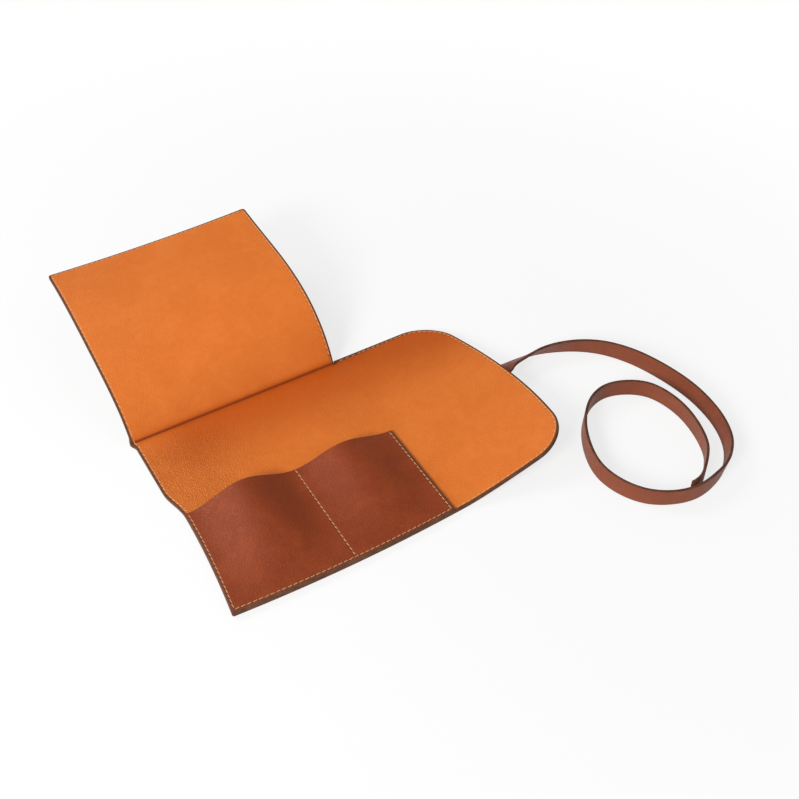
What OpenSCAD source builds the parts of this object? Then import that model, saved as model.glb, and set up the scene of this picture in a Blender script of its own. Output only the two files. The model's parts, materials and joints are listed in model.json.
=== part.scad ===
// Leather roll for two wristwatches, laid open.
// A lined base panel carries a sewn panel with two pockets. A top flap rises from a crease
// behind the pockets and folds down over them. A round-cornered tongue on the right wraps
// round the roll, and a long flat strap sewn under its end ties the roll shut.
// Origin: centre of the pocket field's underside. +X to the tongue, +Y to the flap, +Z up.

/* [Base panel] */
// Width of the pocket field, left edge to the pockets' right edge
base_w = 140; // [120:1:170]
// Depth of the base panel, front edge to back edge
base_d = 146.5; // [135:0.5:165]
// Bare strip between the pockets' right edge and the tongue's fold
spine_w = 4.5; // [4:0.5:12]
// How far the front edge bows out at its middle
front_bow = 2.5; // [0:0.5:4]
// How far the left edge is drawn in at the back
back_inset = 1.2; // [0:0.2:3]
// How far in front of the back edge the flap's crease lies
crease_inset = 1.8; // [1:0.1:4]

/* [Leather] */
// Thickness of the outer leather
shell_t = 1.4; // [1.2:0.1:1.8]
// Thickness of the lining leather
lining_t = 1.1; // [0.8:0.1:1.4]
// Thickness of the pocket leather
panel_t = 1.4; // [1:0.1:1.8]

/* [Pockets] */
// Depth of the pockets, front edge to mouth
pocket_d = 75.8; // [65:0.1:90]
// Distance of the seam between the pockets from the left edge
divider_x = 75; // [68:1:78]
// How far the pocket mouth runs forward from its left end to its right end
mouth_skew = 3; // [0:0.5:5]
// How far the full pocket draws the left edge in at the mouth
mouth_draw = 5.4; // [0:0.2:8]
// Height that the left pocket is moulded to, over the flat leather
left_bulge = 10; // [8:0.5:14]
// Height that the right pocket is moulded to, over the flat leather
right_bulge = 7; // [6:0.5:14]

/* [Flap] */
// Width of the flap
flap_w = 138.8; // [115:0.1:139]
// Length of the flap, crease to free edge
flap_len = 144.8; // [130:0.1:155]
// Length of the flap's first section, up from the crease
flap_root_len = 20; // [16:1:26]
// Length of the flap's second section
flap_mid_len = 26; // [20:1:34]
// Radius of the flap's free corners
flap_corner_r = 2; // [1:0.5:10]
// How far the flap leans to the right over its length
flap_drift_len = 1.4; // [0:0.1:1.6]
// How far the middle of the flap's free edge sags
flap_sag_len = 1.7; // [0:0.1:4]
// Slope at the crease, left edge
left_rise = 56.4; // [40:0.2:60]
// Slope at the crease, right edge
right_rise = 65.2; // [50:0.2:70]

/* [Tongue] */
// Length of the tongue, fold to end
tongue_len = 80.5; // [70:0.5:95]
// Length of the tongue's first section, as high as the tied roll
tongue_root_len = 36; // [34:1:40]
// How far the tongue's end bows out at its middle
tongue_bow = 9; // [0:0.5:12]
// How much further the tongue's end reaches at its front than at its middle
tongue_slant_len = 4.2; // [0:0.1:6]
// Radius of the tongue's corners
tongue_corner_r = 21.5; // [10:0.5:26]
// Height that the middle of the tongue's end springs up
tongue_lift = 10.8; // [10:0.2:16]
// Extra height of the front of the tongue's end, which the back lacks
tongue_skew = 10.8; // [8:0.2:10.8]

/* [Stitching] */
// Distance of the stitch lines from the edges
stitch_inset = 1.8; // [1.6:0.1:4]
// Distance from one stitch to the next
stitch_pitch = 3.4; // [3:0.1:5]
// Length of a stitch
stitch_len = 2.4; // [1.8:0.1:2.6]
// Thickness of the thread
thread_d = 0.7; // [0.5:0.05:0.9]

/* [Strap] */
// Width of the tie strap
strap_w = 12; // [9:0.5:14]
// Thickness of the tie strap
strap_t = 1.6; // [1.4:0.1:2.4]
// Length of the strap's sewn end, under the tongue
anchor_len = 24; // [18:1:32]
// How far behind the middle of the tongue the strap is sewn on
strap_offset = 5; // [-6:0.5:6]

/* [Hidden] */

OUTER = [0.45, 0.25, 0.16];
LINING = [0.89, 0.46, 0.19];
POCKET = [0.54, 0.25, 0.16];
THREAD = [0.93, 0.84, 0.68];
STRAP = [0.61, 0.33, 0.23];

// Sides of the base panel
x_left = -base_w / 2;
x_pocket_right = base_w / 2;
x_fold = x_pocket_right + spine_w;
y_front = -base_d / 2;
y_back = base_d / 2;
y_crease = y_back - crease_inset;

// Heights of the stacked layers
lining_z = shell_t;
body_t = shell_t + lining_t;

// Half of the clear cut between two sections of leather at a fold. The outer leather is
// cut back further, because it closes up when a fold opens past flat.
lining_gap = 0.3;
shell_gap = 0.8;
soft_gap = 0.06;
anchor_gap = 0.15;

function mix(a, b, t) = a + (b - a) * t;
function clamp01(t) = max(0, min(1, t));
function ease(t) = (1 - cos(180 * clamp01(t))) / 2;
function unit(v) = v / norm(v);

// ---- Outline of the base panel

// The left edge draws in along the pocket, and runs out again behind its mouth
draw_power = 1.8;
draw_run = 24;
function left_edge(y) =
    let (d = y - y_front)
    x_left + (d <= pocket_d
        ? mouth_draw * (1 - pow(1 - max(0, d) / pocket_d, draw_power))
        : mix(mouth_draw, back_inset, ease((d - pocket_d) / draw_run)));

function front_edge(x) =
    let (u = clamp01((x - x_left) / (x_fold - x_left)))
    y_front - front_bow * 4 * u * (1 - u);

// Right of the flap, the base runs on to the tongue's back edge
x_tab = x_left + flap_w + shell_gap;

// Steps in which a curved edge or a seam is drawn
edge_steps = 20;
seam_steps = 16;
function base_outline(gap) = concat(
    [for (i = [1 : edge_steps])
        let (y = mix(y_front, y_crease - gap, i / edge_steps)) [left_edge(y), y]],
    [for (q = [[x_tab, y_crease - gap], [x_tab, y_back], [x_fold - gap, y_back]]) q],
    [for (i = [edge_steps : -1 : 0])
        let (x = mix(x_left, x_fold - gap, i / edge_steps)) [x, front_edge(x)]]);

// ---- Sheets of leather, as a grid of points under and over

// Rows run along the sheet's first direction and columns along its second, and the
// upper grid lies on the side that the two directions turn to.
module sheet(under, over) {
    rows = len(under);
    cols = len(under[0]);
    count = rows * cols;
    points = concat([for (row = under) each row], [for (row = over) each row]);
    function at(i, j) = i * cols + j;
    faces = concat(
        [for (i = [0 : rows - 2], j = [0 : cols - 2]) each [
            [count + at(i, j), count + at(i + 1, j + 1), count + at(i + 1, j)],
            [count + at(i, j), count + at(i, j + 1), count + at(i + 1, j + 1)],
            [at(i, j), at(i + 1, j), at(i + 1, j + 1)],
            [at(i, j), at(i + 1, j + 1), at(i, j + 1)]]],
        [for (i = [0 : rows - 2]) each [
            [at(i, 0), count + at(i, 0), count + at(i + 1, 0)],
            [at(i, 0), count + at(i + 1, 0), at(i + 1, 0)],
            [at(i, cols - 1), count + at(i + 1, cols - 1), count + at(i, cols - 1)],
            [at(i, cols - 1), at(i + 1, cols - 1), count + at(i + 1, cols - 1)]]],
        [for (j = [0 : cols - 2]) each [
            [at(0, j), count + at(0, j + 1), count + at(0, j)],
            [at(0, j), at(0, j + 1), count + at(0, j + 1)],
            [at(rows - 1, j), count + at(rows - 1, j), count + at(rows - 1, j + 1)],
            [at(rows - 1, j), count + at(rows - 1, j + 1), at(rows - 1, j + 1)]]]);
    polyhedron(points, faces, convexity = 6);
}

// ---- Stitches along a line of points

module stitch() {
    rotate([0, 90, 0])
        cylinder(h = stitch_len, d = thread_d, center = true, $fn = 6);
}

function run_lengths(path) = [for (i = 0, d = 0; i < len(path);
    d = d + (i + 1 < len(path) ? norm(path[i + 1] - path[i]) : 0), i = i + 1) d];

module stitches(path) {
    reach = run_lengths(path);
    total = reach[len(reach) - 1];
    count = max(1, round(total / stitch_pitch));
    for (k = [0 : count - 1]) {
        d = (k + 0.5) * total / count;
        i = max([for (n = [0 : len(path) - 2]) if (reach[n] <= d) n]);
        along = unit(path[i + 1] - path[i]);
        place = path[i] + along * (d - reach[i]);
        translate(place)
            rotate([0, -asin(along.z), atan2(along.y, along.x)])
                stitch();
    }
}

// Height of a stitch's middle over the leather
stitch_z = thread_d / 2 + soft_gap;
// Room left between a fold and the first stitch beside it
thread_clear = shell_gap;
// Room left between a pocket mouth and the seams that end there
mouth_clear = 1;

// ---- Pockets

seam_front = y_front + stitch_inset;
x_divider = x_left + divider_x;
x_seam_right = x_pocket_right - stitch_inset;

function mouth_y(x) = y_front + pocket_d - mouth_skew * clamp01((x - x_left) / base_w);

function hump(q) = pow(sin(180 * clamp01(q)), 2);

function bulge(x, y) =
    let (seam_left = left_edge(y) + stitch_inset,
        rise = sin(90 * clamp01((y - seam_front) / (mouth_y(x) - seam_front))))
    rise * (x < x_divider
        ? left_bulge * hump((x - seam_left) / (x_divider - seam_left))
        : right_bulge * hump((x - x_divider) / (x_seam_right - x_divider)));

pocket_cols = 11;
pocket_rows = 11;

// Column places across the panel: margin, left pocket, right pocket, margin
function pocket_x(y) = concat(
    [left_edge(y)],
    [for (i = [0 : pocket_cols]) mix(left_edge(y) + stitch_inset, x_divider, i / pocket_cols)],
    [for (i = [1 : pocket_cols]) mix(x_divider, x_seam_right, i / pocket_cols)],
    [x_pocket_right]);

// Row places, as shares of the depth from the front seam to the mouth
function pocket_point(row, col, lift) =
    let (share = (row - 1) / pocket_rows,
        guess_y = row == 0 ? y_front : mix(seam_front, y_front + pocket_d, share),
        x = pocket_x(guess_y)[col],
        y = row == 0 ? front_edge(x) : mix(front_edge(x) + stitch_inset, mouth_y(x), share))
    [x, y, body_t + lift + (row == 0 ? 0 : bulge(x, y))];

function pocket_grid(lift) = [for (col = [0 : 2 * pocket_cols + 2])
    [for (row = [0 : pocket_rows + 1]) pocket_point(row, col, lift)]];

// ---- Flap: a ruled sheet between its left and its right edge

profile_step = 1;
profile_count = ceil(flap_len / profile_step) + 1;
// Lengths over which the slope at the crease eases to the slope at the free end
left_ease_len = 26;
right_ease_len = 54.2;
// Slope along an edge: at the crease, at the free end, that length, and a slow wave on top
left_slope = [left_rise, -6.4, left_ease_len, 17.7];
right_slope = [right_rise, 2.8, right_ease_len, -8.3];
ease_power = 1.5;

function slope(edge, s) = edge[1] + (edge[0] - edge[1]) * exp(-pow(s / edge[2], ease_power))
    + edge[3] * sin(180 * s / flap_len);

// Running sum of the slope, as [how far back, how high]
function profile(edge) = [for (i = 0, y = 0, z = 0; i <= profile_count;
    y = y + profile_step * cos(slope(edge, (i + 0.5) * profile_step)),
    z = z + profile_step * sin(slope(edge, (i + 0.5) * profile_step)),
    i = i + 1) [y, z]];
left_profile = profile(left_slope);
right_profile = profile(right_slope);

function profile_at(table, s) =
    let (i = floor(s / profile_step))
    mix(table[i], table[i + 1], s / profile_step - i);

function edge_place(table, x, s) =
    let (p = profile_at(table, s))
    [x + flap_drift_len * s / flap_len, y_crease + p[0], body_t + p[1]];

function face_normal(a) = [0, -sin(a), cos(a)];

sag_power = 3;
// A point of the flap: u across from 0 to 1, s up from the crease, n over the lining
function flap_point(u, s, n) =
    let (a = edge_place(left_profile, x_left, s),
        b = edge_place(right_profile, x_left + flap_w, s),
        up = unit(mix(face_normal(slope(left_slope, s)), face_normal(slope(right_slope, s)), u)),
        sag = flap_sag_len * 4 * u * (1 - u) * pow(s / flap_len, sag_power))
    mix(a, b, u) + up * n - [0, 0, sag];

// Share of the width by which a corner of that radius sets the side in at s
function corner_share(s, end, r) =
    s <= end - r ? 0 : (r - sqrt(max(0, r * r - pow(s - end + r, 2)))) / flap_w;

flap_cols = 6;
flap_mid_end = flap_root_len + flap_mid_len;

function between(a, b, count) = [for (i = [1 : count - 1]) mix(a, b, i / count)];

// Row places of a section from one fold to the next, or to the free end
function section_rows(from, to, gap, count) = concat(
    gap < shell_gap ? [from + gap] : [],
    [from + shell_gap],
    between(from + shell_gap, to - shell_gap, count),
    [to - shell_gap],
    gap < shell_gap ? [to - gap] : []);

corner_shares = [0, 0.3, 0.55, 0.75, 0.9, 1];
function flap_end_rows(from, gap, count) = concat(
    gap < shell_gap ? [from + gap] : [],
    [from + shell_gap],
    between(from + shell_gap, flap_len - flap_corner_r, count),
    [for (c = corner_shares) flap_len - flap_corner_r * (1 - c)]);

function flap_grid(rows, n) = [for (i = [0 : flap_cols])
    [for (s = rows)
        let (inset = corner_share(s, flap_len, flap_corner_r))
        flap_point(mix(inset, 1 - inset, i / flap_cols), s, n)]];

module flap_shell(rows) {
    sheet(flap_grid(rows, -body_t), flap_grid(rows, -lining_t));
}

module flap_lining(rows) {
    sheet(flap_grid(rows, -lining_t), flap_grid(rows, 0));
}

flap_seam = stitch_inset / flap_w;
function flap_run(u, from, to) = [for (i = [0 : seam_steps])
    flap_point(u, mix(from, to, i / seam_steps), stitch_z)];

module flap_side_stitches(from, to) {
    stitches(flap_run(flap_seam, from + thread_clear, to - thread_clear));
    stitches(flap_run(1 - flap_seam, from + thread_clear, to - thread_clear));
}

// ---- Tongue: its end springs up from the table

half_d = base_d / 2;

function tongue_end(y, inset) =
    let (q = clamp01((abs(y) - (half_d - tongue_corner_r)) / (tongue_corner_r - inset)))
    tongue_len - inset - tongue_bow * pow(y / half_d, 2) - tongue_slant_len * y / half_d
        - (tongue_corner_r - inset) * (1 - sqrt(1 - q * q));

lift_power = 1.3;
// A point of the tongue: t out from the fold, y across, n over the outer face
function tongue_point(t, y, n) =
    let (edge_lift = tongue_lift - tongue_skew * y / half_d,
        share = t / tongue_len,
        steep = lift_power * edge_lift * pow(share, lift_power - 1) / tongue_len,
        up = unit([-steep, tongue_skew / half_d * pow(share, lift_power), 1]))
    [x_fold + t, y, edge_lift * pow(share, lift_power)] + up * n;

// Column places across the tongue, closer together round its corners
corner_turns = [0, 20, 40, 58, 74, 90];
tongue_half_cols = [for (a = corner_turns) half_d - tongue_corner_r * (1 - sin(a))];
tongue_cols = concat(
    [for (i = [len(corner_turns) - 1 : -1 : 0]) -tongue_half_cols[i]],
    [-tongue_half_cols[0] / 2, 0, tongue_half_cols[0] / 2],
    tongue_half_cols);

function tongue_grid(rows, n) = [for (t = rows) [for (y = tongue_cols) tongue_point(t, y, n)]];

// The end section's rows stay straight at its fold and take up the end's outline by degrees
tongue_rows = 7;
function tongue_end_grid(gap, n) = concat(
    gap < shell_gap ? tongue_grid([tongue_root_len + gap], n) : [],
    [for (i = [0 : tongue_rows]) [for (y = tongue_cols) tongue_point(
        mix(tongue_root_len + shell_gap, tongue_end(y, 0), i / tongue_rows), y, n)]]);

tongue_seam_y = half_d - stitch_inset;
function tongue_side_run(y, from, to) = [for (i = [0 : seam_steps])
    tongue_point(mix(from, to, i / seam_steps), y, body_t + stitch_z)];

// The seam round the tongue's end, from the back fold to the front fold
function tongue_end_run(n) =
    let (start = tongue_root_len + thread_clear, flat_y = half_d - tongue_corner_r,
        r = tongue_corner_r - stitch_inset,
        corner = [for (i = [0 : seam_steps]) flat_y + r * sin(90 * (1 - i / seam_steps))],
        across = concat(corner, between(flat_y, -flat_y, seam_steps),
            [for (i = [seam_steps : -1 : 0]) -corner[i]]))
    concat(
        [tongue_point(start, tongue_seam_y, n)],
        [for (y = across) tongue_point(tongue_end(y, stitch_inset), y, n)],
        [tongue_point(start, -tongue_seam_y, n)]);

// ---- Strap

// Distance of the strap's own seam from the strap's edges
anchor_seam = 2;
anchor_steps = 4;
anchor_rows = [for (i = [0 : anchor_steps])
    tongue_len - anchor_len * (1 - i / anchor_steps)];
anchor_cols = [for (q = [-1, 0, 1]) strap_offset + q * strap_w / 2];
function anchor_grid(n) = [for (t = anchor_rows) [for (y = anchor_cols) tongue_point(t, y, n)]];

// The strap's route: [out from the tongue's end, to the back, over the on-edge height, how far
// it has turned on to its edge]. It leaves flat, twists on to its edge and stands on the table.
strap_route = [
    [7, 7.6, 1.3, 33], [17.7, 9.5, 0, 44], [30.6, 9.6, 0, 59], [44.3, 6.3, 0, 71],
    [58.1, -0.4, 0, 80], [69.9, -10.5, 0, 88], [79.1, -24.3, 0, 94], [85, -38.8, 0, 98],
    [89.2, -54.9, 0, 100], [91.3, -70.8, 0, 101], [90.7, -86.7, 0, 101],
    [87.6, -101.5, 0, 102], [80.7, -116.1, 0, 103], [69.1, -127.3, 0, 100],
    [55.2, -133.1, 0, 93], [40.4, -135.2, 0, 91], [26.3, -131.8, 0, 92],
    [13.6, -123.3, 0, 89], [5.3, -110.2, 0, 87], [2.2, -94.4, 0, 85], [5.9, -78, 0, 84],
    [15.2, -60.7, 0, 85], [28.9, -47.2, 0, 87], [43.8, -42.1, 0, 89], [58.2, -45.8, 0, 90],
    [69.8, -55.9, 0, 91], [74.9, -73, 0, 91], [73.6, -92.8, 0, 91], [65.5, -114, 0, 90],
    [48.7, -129.2, 0, 90], [39, -131.5, 0, 90]];
// Clearance of the strap's lower edge over the table
strap_clear = 0.1;
// The free run starts this far past the sewn end, so that the strap's two solids stay clear
strap_start_gap = 0.35;
exit_place = tongue_point(tongue_len + strap_start_gap, strap_offset, -anchor_gap - strap_t / 2);
exit_slope = atan(lift_power * tongue_lift / tongue_len);
exit_tilt = atan(tongue_skew / half_d);

strap_points = concat([exit_place],
    [for (p = strap_route)
        [x_fold + tongue_len + p.x, p.y, strap_w / 2 + strap_clear + p.z]]);
strap_roll = concat([exit_tilt], [for (p = strap_route) p[3]]);
strap_last = len(strap_points) - 1;

// A smooth curve through the points, by half steps between them. A half step's place weighs
// its two neighbours 9 to 16 and the next two -1 to 16.
function strap_point(k) = strap_points[max(0, min(strap_last, k))];
function strap_at(h) =
    let (i = floor(h / 2), near = strap_point(i) + strap_point(i + 1),
        far = strap_point(i - 1) + strap_point(i + 2))
    h % 2 == 0 ? strap_point(i) : (9 * near - far) / 16;
function strap_heading(h) = h == 0
    ? [cos(exit_slope), 0, sin(exit_slope)]
    : unit(strap_at(min(2 * strap_last, h + 1)) - strap_at(h - 1));
function roll_at(h) = mix(strap_roll[floor(h / 2)], strap_roll[ceil(h / 2)], 0.5);

// Least gap of the strap to itself, measured on points that lie well apart along it
steps_apart = 8;
function strap_self_gap() = min([for (i = [0 : 2 * strap_last - steps_apart])
    for (j = [i + steps_apart : 2 * strap_last]) norm(strap_at(i) - strap_at(j))]) - strap_t;

strap_bevel = 0.4;
strap_section = [for (q = [[-1, -1], [-1, 1], [1, 1], [1, -1]]) each
    let (w = strap_w / 2, t = strap_t / 2, first = q[0] * q[1] > 0,
        side = [q[0] * w, q[1] * (t - strap_bevel)], face = [q[0] * (w - strap_bevel), q[1] * t])
    first ? [face, side] : [side, face]];

function strap_ring(h) =
    let (forward = strap_heading(h), across = unit(cross([0, 0, 1], forward)),
        up = cross(forward, across), a = -roll_at(h),
        wide = across * cos(a) + up * sin(a), thick = up * cos(a) - across * sin(a))
    [for (q = strap_section) strap_at(h) + wide * q[0] + thick * q[1]];

module strap_tube() {
    rings = [for (h = [0 : 2 * strap_last]) strap_ring(h)];
    sides = len(strap_section);
    last = len(rings) - 1;
    polyhedron([for (r = rings) each r], concat(
        [[for (j = [0 : sides - 1]) j]],
        [for (i = [0 : last - 1], j = [0 : sides - 1])
            let (a = i * sides + j, b = i * sides + (j + 1) % sides)
            each [[a, a + sides, b + sides], [a, b + sides, b]]],
        [[for (j = [sides - 1 : -1 : 0]) last * sides + j]]), convexity = 10);
}

// ---- Sub-parts on the base

module base_shell() {
    color(OUTER) linear_extrude(shell_t) polygon(base_outline(shell_gap));
}

module base_lining() {
    color(LINING) translate([0, 0, lining_z])
        linear_extrude(lining_t) polygon(base_outline(lining_gap));
}

module pocket_panel() {
    color(POCKET) sheet(pocket_grid(0), pocket_grid(panel_t));
}

pocket_seam_z = body_t + panel_t + stitch_z;

module pocket_thread() {
    seam_back = y_front + pocket_d - mouth_clear;
    seam_left = left_edge(seam_front) + stitch_inset;
    color(THREAD) stitches(concat(
        [for (i = [0 : seam_steps]) let (y = mix(seam_back, seam_front, i / seam_steps))
            [left_edge(y) + stitch_inset, y, pocket_seam_z]],
        [for (i = [1 : seam_steps]) let (x = mix(seam_left, x_seam_right, i / seam_steps))
            [x, front_edge(x) + stitch_inset, pocket_seam_z]],
        [[x_seam_right, mouth_y(x_seam_right) - mouth_clear, pocket_seam_z]]));
}

module divider_thread() {
    color(THREAD) stitches([
        [x_divider, front_edge(x_divider) + stitch_inset + stitch_len, pocket_seam_z],
        [x_divider, mouth_y(x_divider) - mouth_clear, pocket_seam_z]]);
}

module base_thread() {
    from = y_front + pocket_d + mouth_clear;
    to = y_crease - thread_clear;
    color(THREAD) stitches([for (i = [0 : seam_steps]) let (y = mix(from, to, i / seam_steps))
        [left_edge(y) + stitch_inset, y, body_t + stitch_z]]);
}

// ---- Sub-parts of the flap

module flap_root_shell() {
    color(OUTER) flap_shell(section_rows(0, flap_root_len, shell_gap, 4));
}

module flap_root_lining() {
    color(LINING) flap_lining(section_rows(0, flap_root_len, lining_gap, 4));
}

module flap_root_thread() {
    color(THREAD) flap_side_stitches(0, flap_root_len);
}

module flap_mid_shell() {
    color(OUTER) flap_shell(section_rows(flap_root_len, flap_mid_end, shell_gap, 5));
}

module flap_mid_lining() {
    color(LINING) flap_lining(section_rows(flap_root_len, flap_mid_end, lining_gap, 5));
}

module flap_mid_thread() {
    color(THREAD) flap_side_stitches(flap_root_len, flap_mid_end);
}

module flap_tip_shell() {
    color(OUTER) flap_shell(flap_end_rows(flap_mid_end, shell_gap, 10));
}

module flap_tip_lining() {
    color(LINING) flap_lining(flap_end_rows(flap_mid_end, lining_gap, 10));
}

module flap_tip_thread() {
    far = flap_len - stitch_inset;
    near = flap_mid_end + thread_clear;
    color(THREAD) stitches(concat(
        flap_run(flap_seam, near, far),
        [for (u = between(flap_seam, 1 - flap_seam, seam_steps)) flap_point(u, far, stitch_z)],
        flap_run(1 - flap_seam, far, near)));
}

// ---- Sub-parts of the tongue

module tongue_root_shell() {
    rows = section_rows(0, tongue_root_len, shell_gap, 7);
    color(OUTER) sheet(tongue_grid(rows, 0), tongue_grid(rows, shell_t));
}

module tongue_root_lining() {
    rows = section_rows(0, tongue_root_len, lining_gap, 7);
    color(LINING) sheet(tongue_grid(rows, shell_t), tongue_grid(rows, body_t));
}

module tongue_root_thread() {
    from = thread_clear;
    to = tongue_root_len - thread_clear;
    color(THREAD) {
        stitches(tongue_side_run(tongue_seam_y, from, to));
        stitches(tongue_side_run(-tongue_seam_y, from, to));
    }
}

module tongue_tip_shell() {
    color(OUTER) sheet(tongue_end_grid(shell_gap, 0), tongue_end_grid(shell_gap, shell_t));
}

module tongue_tip_lining() {
    color(LINING) sheet(tongue_end_grid(lining_gap, shell_t), tongue_end_grid(lining_gap, body_t));
}

module tongue_tip_thread() {
    color(THREAD) stitches(tongue_end_run(body_t + stitch_z));
}

module strap_anchor() {
    color(STRAP) sheet(anchor_grid(-anchor_gap - strap_t), anchor_grid(-anchor_gap));
}

module anchor_thread() {
    n = -anchor_gap - strap_t - stitch_z;
    side = strap_w / 2 - anchor_seam;
    left = strap_offset + side;
    right = strap_offset - side;
    from = tongue_len - anchor_len + anchor_seam;
    to = tongue_len - anchor_seam;
    color(THREAD) stitches(concat(
        [for (t = [to, (from + to) / 2, from]) tongue_point(t, right, n)],
        [for (t = [from, (from + to) / 2, to]) tongue_point(t, left, n)],
        [tongue_point(to, right + stitch_pitch / 2, n)]));
}

module strap() {
    echo(strap_self_gap = strap_self_gap());
    color(STRAP) strap_tube();
}

base_shell();
base_lining();
pocket_panel();
pocket_thread();
divider_thread();
base_thread();
flap_root_shell();
flap_root_lining();
flap_root_thread();
flap_mid_shell();
flap_mid_lining();
flap_mid_thread();
flap_tip_shell();
flap_tip_lining();
flap_tip_thread();
tongue_root_shell();
tongue_root_lining();
tongue_root_thread();
tongue_tip_shell();
tongue_tip_lining();
tongue_tip_thread();
strap_anchor();
anchor_thread();
strap();
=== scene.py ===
"""Leather roll for two wristwatches, laid open: its looks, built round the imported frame.

Sizes are in millimetres, as in the part's source, and meshes are written in metres. Flat
coordinates are those of the leather before it is bent: x and y on the base, y run on up the
flap past the crease, and x run on along the tongue past its fold.
"""

import json
import logging
import math
from collections.abc import Callable, Sequence
from dataclasses import dataclass, field
from enum import Enum, IntEnum
from functools import cached_property

import bpy
import numpy as np
from mathutils import Matrix, Vector
from mathutils.geometry import delaunay_2d_cdt

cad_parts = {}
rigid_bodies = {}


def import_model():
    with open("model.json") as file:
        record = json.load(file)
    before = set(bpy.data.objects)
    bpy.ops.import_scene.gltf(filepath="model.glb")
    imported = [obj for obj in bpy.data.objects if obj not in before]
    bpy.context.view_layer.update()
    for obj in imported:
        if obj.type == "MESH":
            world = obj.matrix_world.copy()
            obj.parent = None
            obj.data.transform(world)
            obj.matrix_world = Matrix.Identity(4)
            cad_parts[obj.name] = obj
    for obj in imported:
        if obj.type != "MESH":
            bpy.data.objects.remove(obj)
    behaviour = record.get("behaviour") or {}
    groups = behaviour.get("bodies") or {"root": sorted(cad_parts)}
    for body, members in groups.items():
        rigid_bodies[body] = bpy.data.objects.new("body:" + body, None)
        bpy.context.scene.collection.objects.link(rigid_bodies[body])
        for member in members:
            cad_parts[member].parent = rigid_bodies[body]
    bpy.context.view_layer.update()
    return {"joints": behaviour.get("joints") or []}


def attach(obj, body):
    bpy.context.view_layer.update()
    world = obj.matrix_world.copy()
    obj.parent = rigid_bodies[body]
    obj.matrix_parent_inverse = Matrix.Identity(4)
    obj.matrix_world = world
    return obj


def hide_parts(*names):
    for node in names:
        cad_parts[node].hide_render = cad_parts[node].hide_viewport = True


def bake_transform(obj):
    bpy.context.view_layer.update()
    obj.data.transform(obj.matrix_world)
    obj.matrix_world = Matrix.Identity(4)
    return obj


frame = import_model()

MM = 0.001
LOG = logging.getLogger("watch_roll")
FAR = 1.0e6  # past anything on the roll
SAME = 1.0e-6  # two places nearer than this are one place
TINY = 1.0e-12  # keeps a division off zero

Array = np.ndarray
Colour = tuple[float, float, float]
Place = Callable[[Array, Array], Array]


def smooth(t: Array) -> Array:
    """Eases from 0 to 1 along a half cosine, clamped at both ends.

    Args:
        t: how far along, 0 to 1.

    Returns:
        The eased values.
    """
    return (1 - np.cos(np.pi * np.clip(t, 0, 1))) / 2


def unit(v: Array) -> Array:
    """Scales each row to length 1."""
    return v / np.maximum(np.linalg.norm(v, axis=-1, keepdims=True), TINY)


def linear(red: int, green: int, blue: int) -> Colour:
    """Turns a colour as a screen shows it, 0 to 255, into the renderer's linear values."""
    return tuple(((c / 255 + 0.055) / 1.055) ** 2.4 if c > 10 else c / 3294.6
                 for c in (red, green, blue))


# ---- The roll's sizes and surfaces


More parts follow.
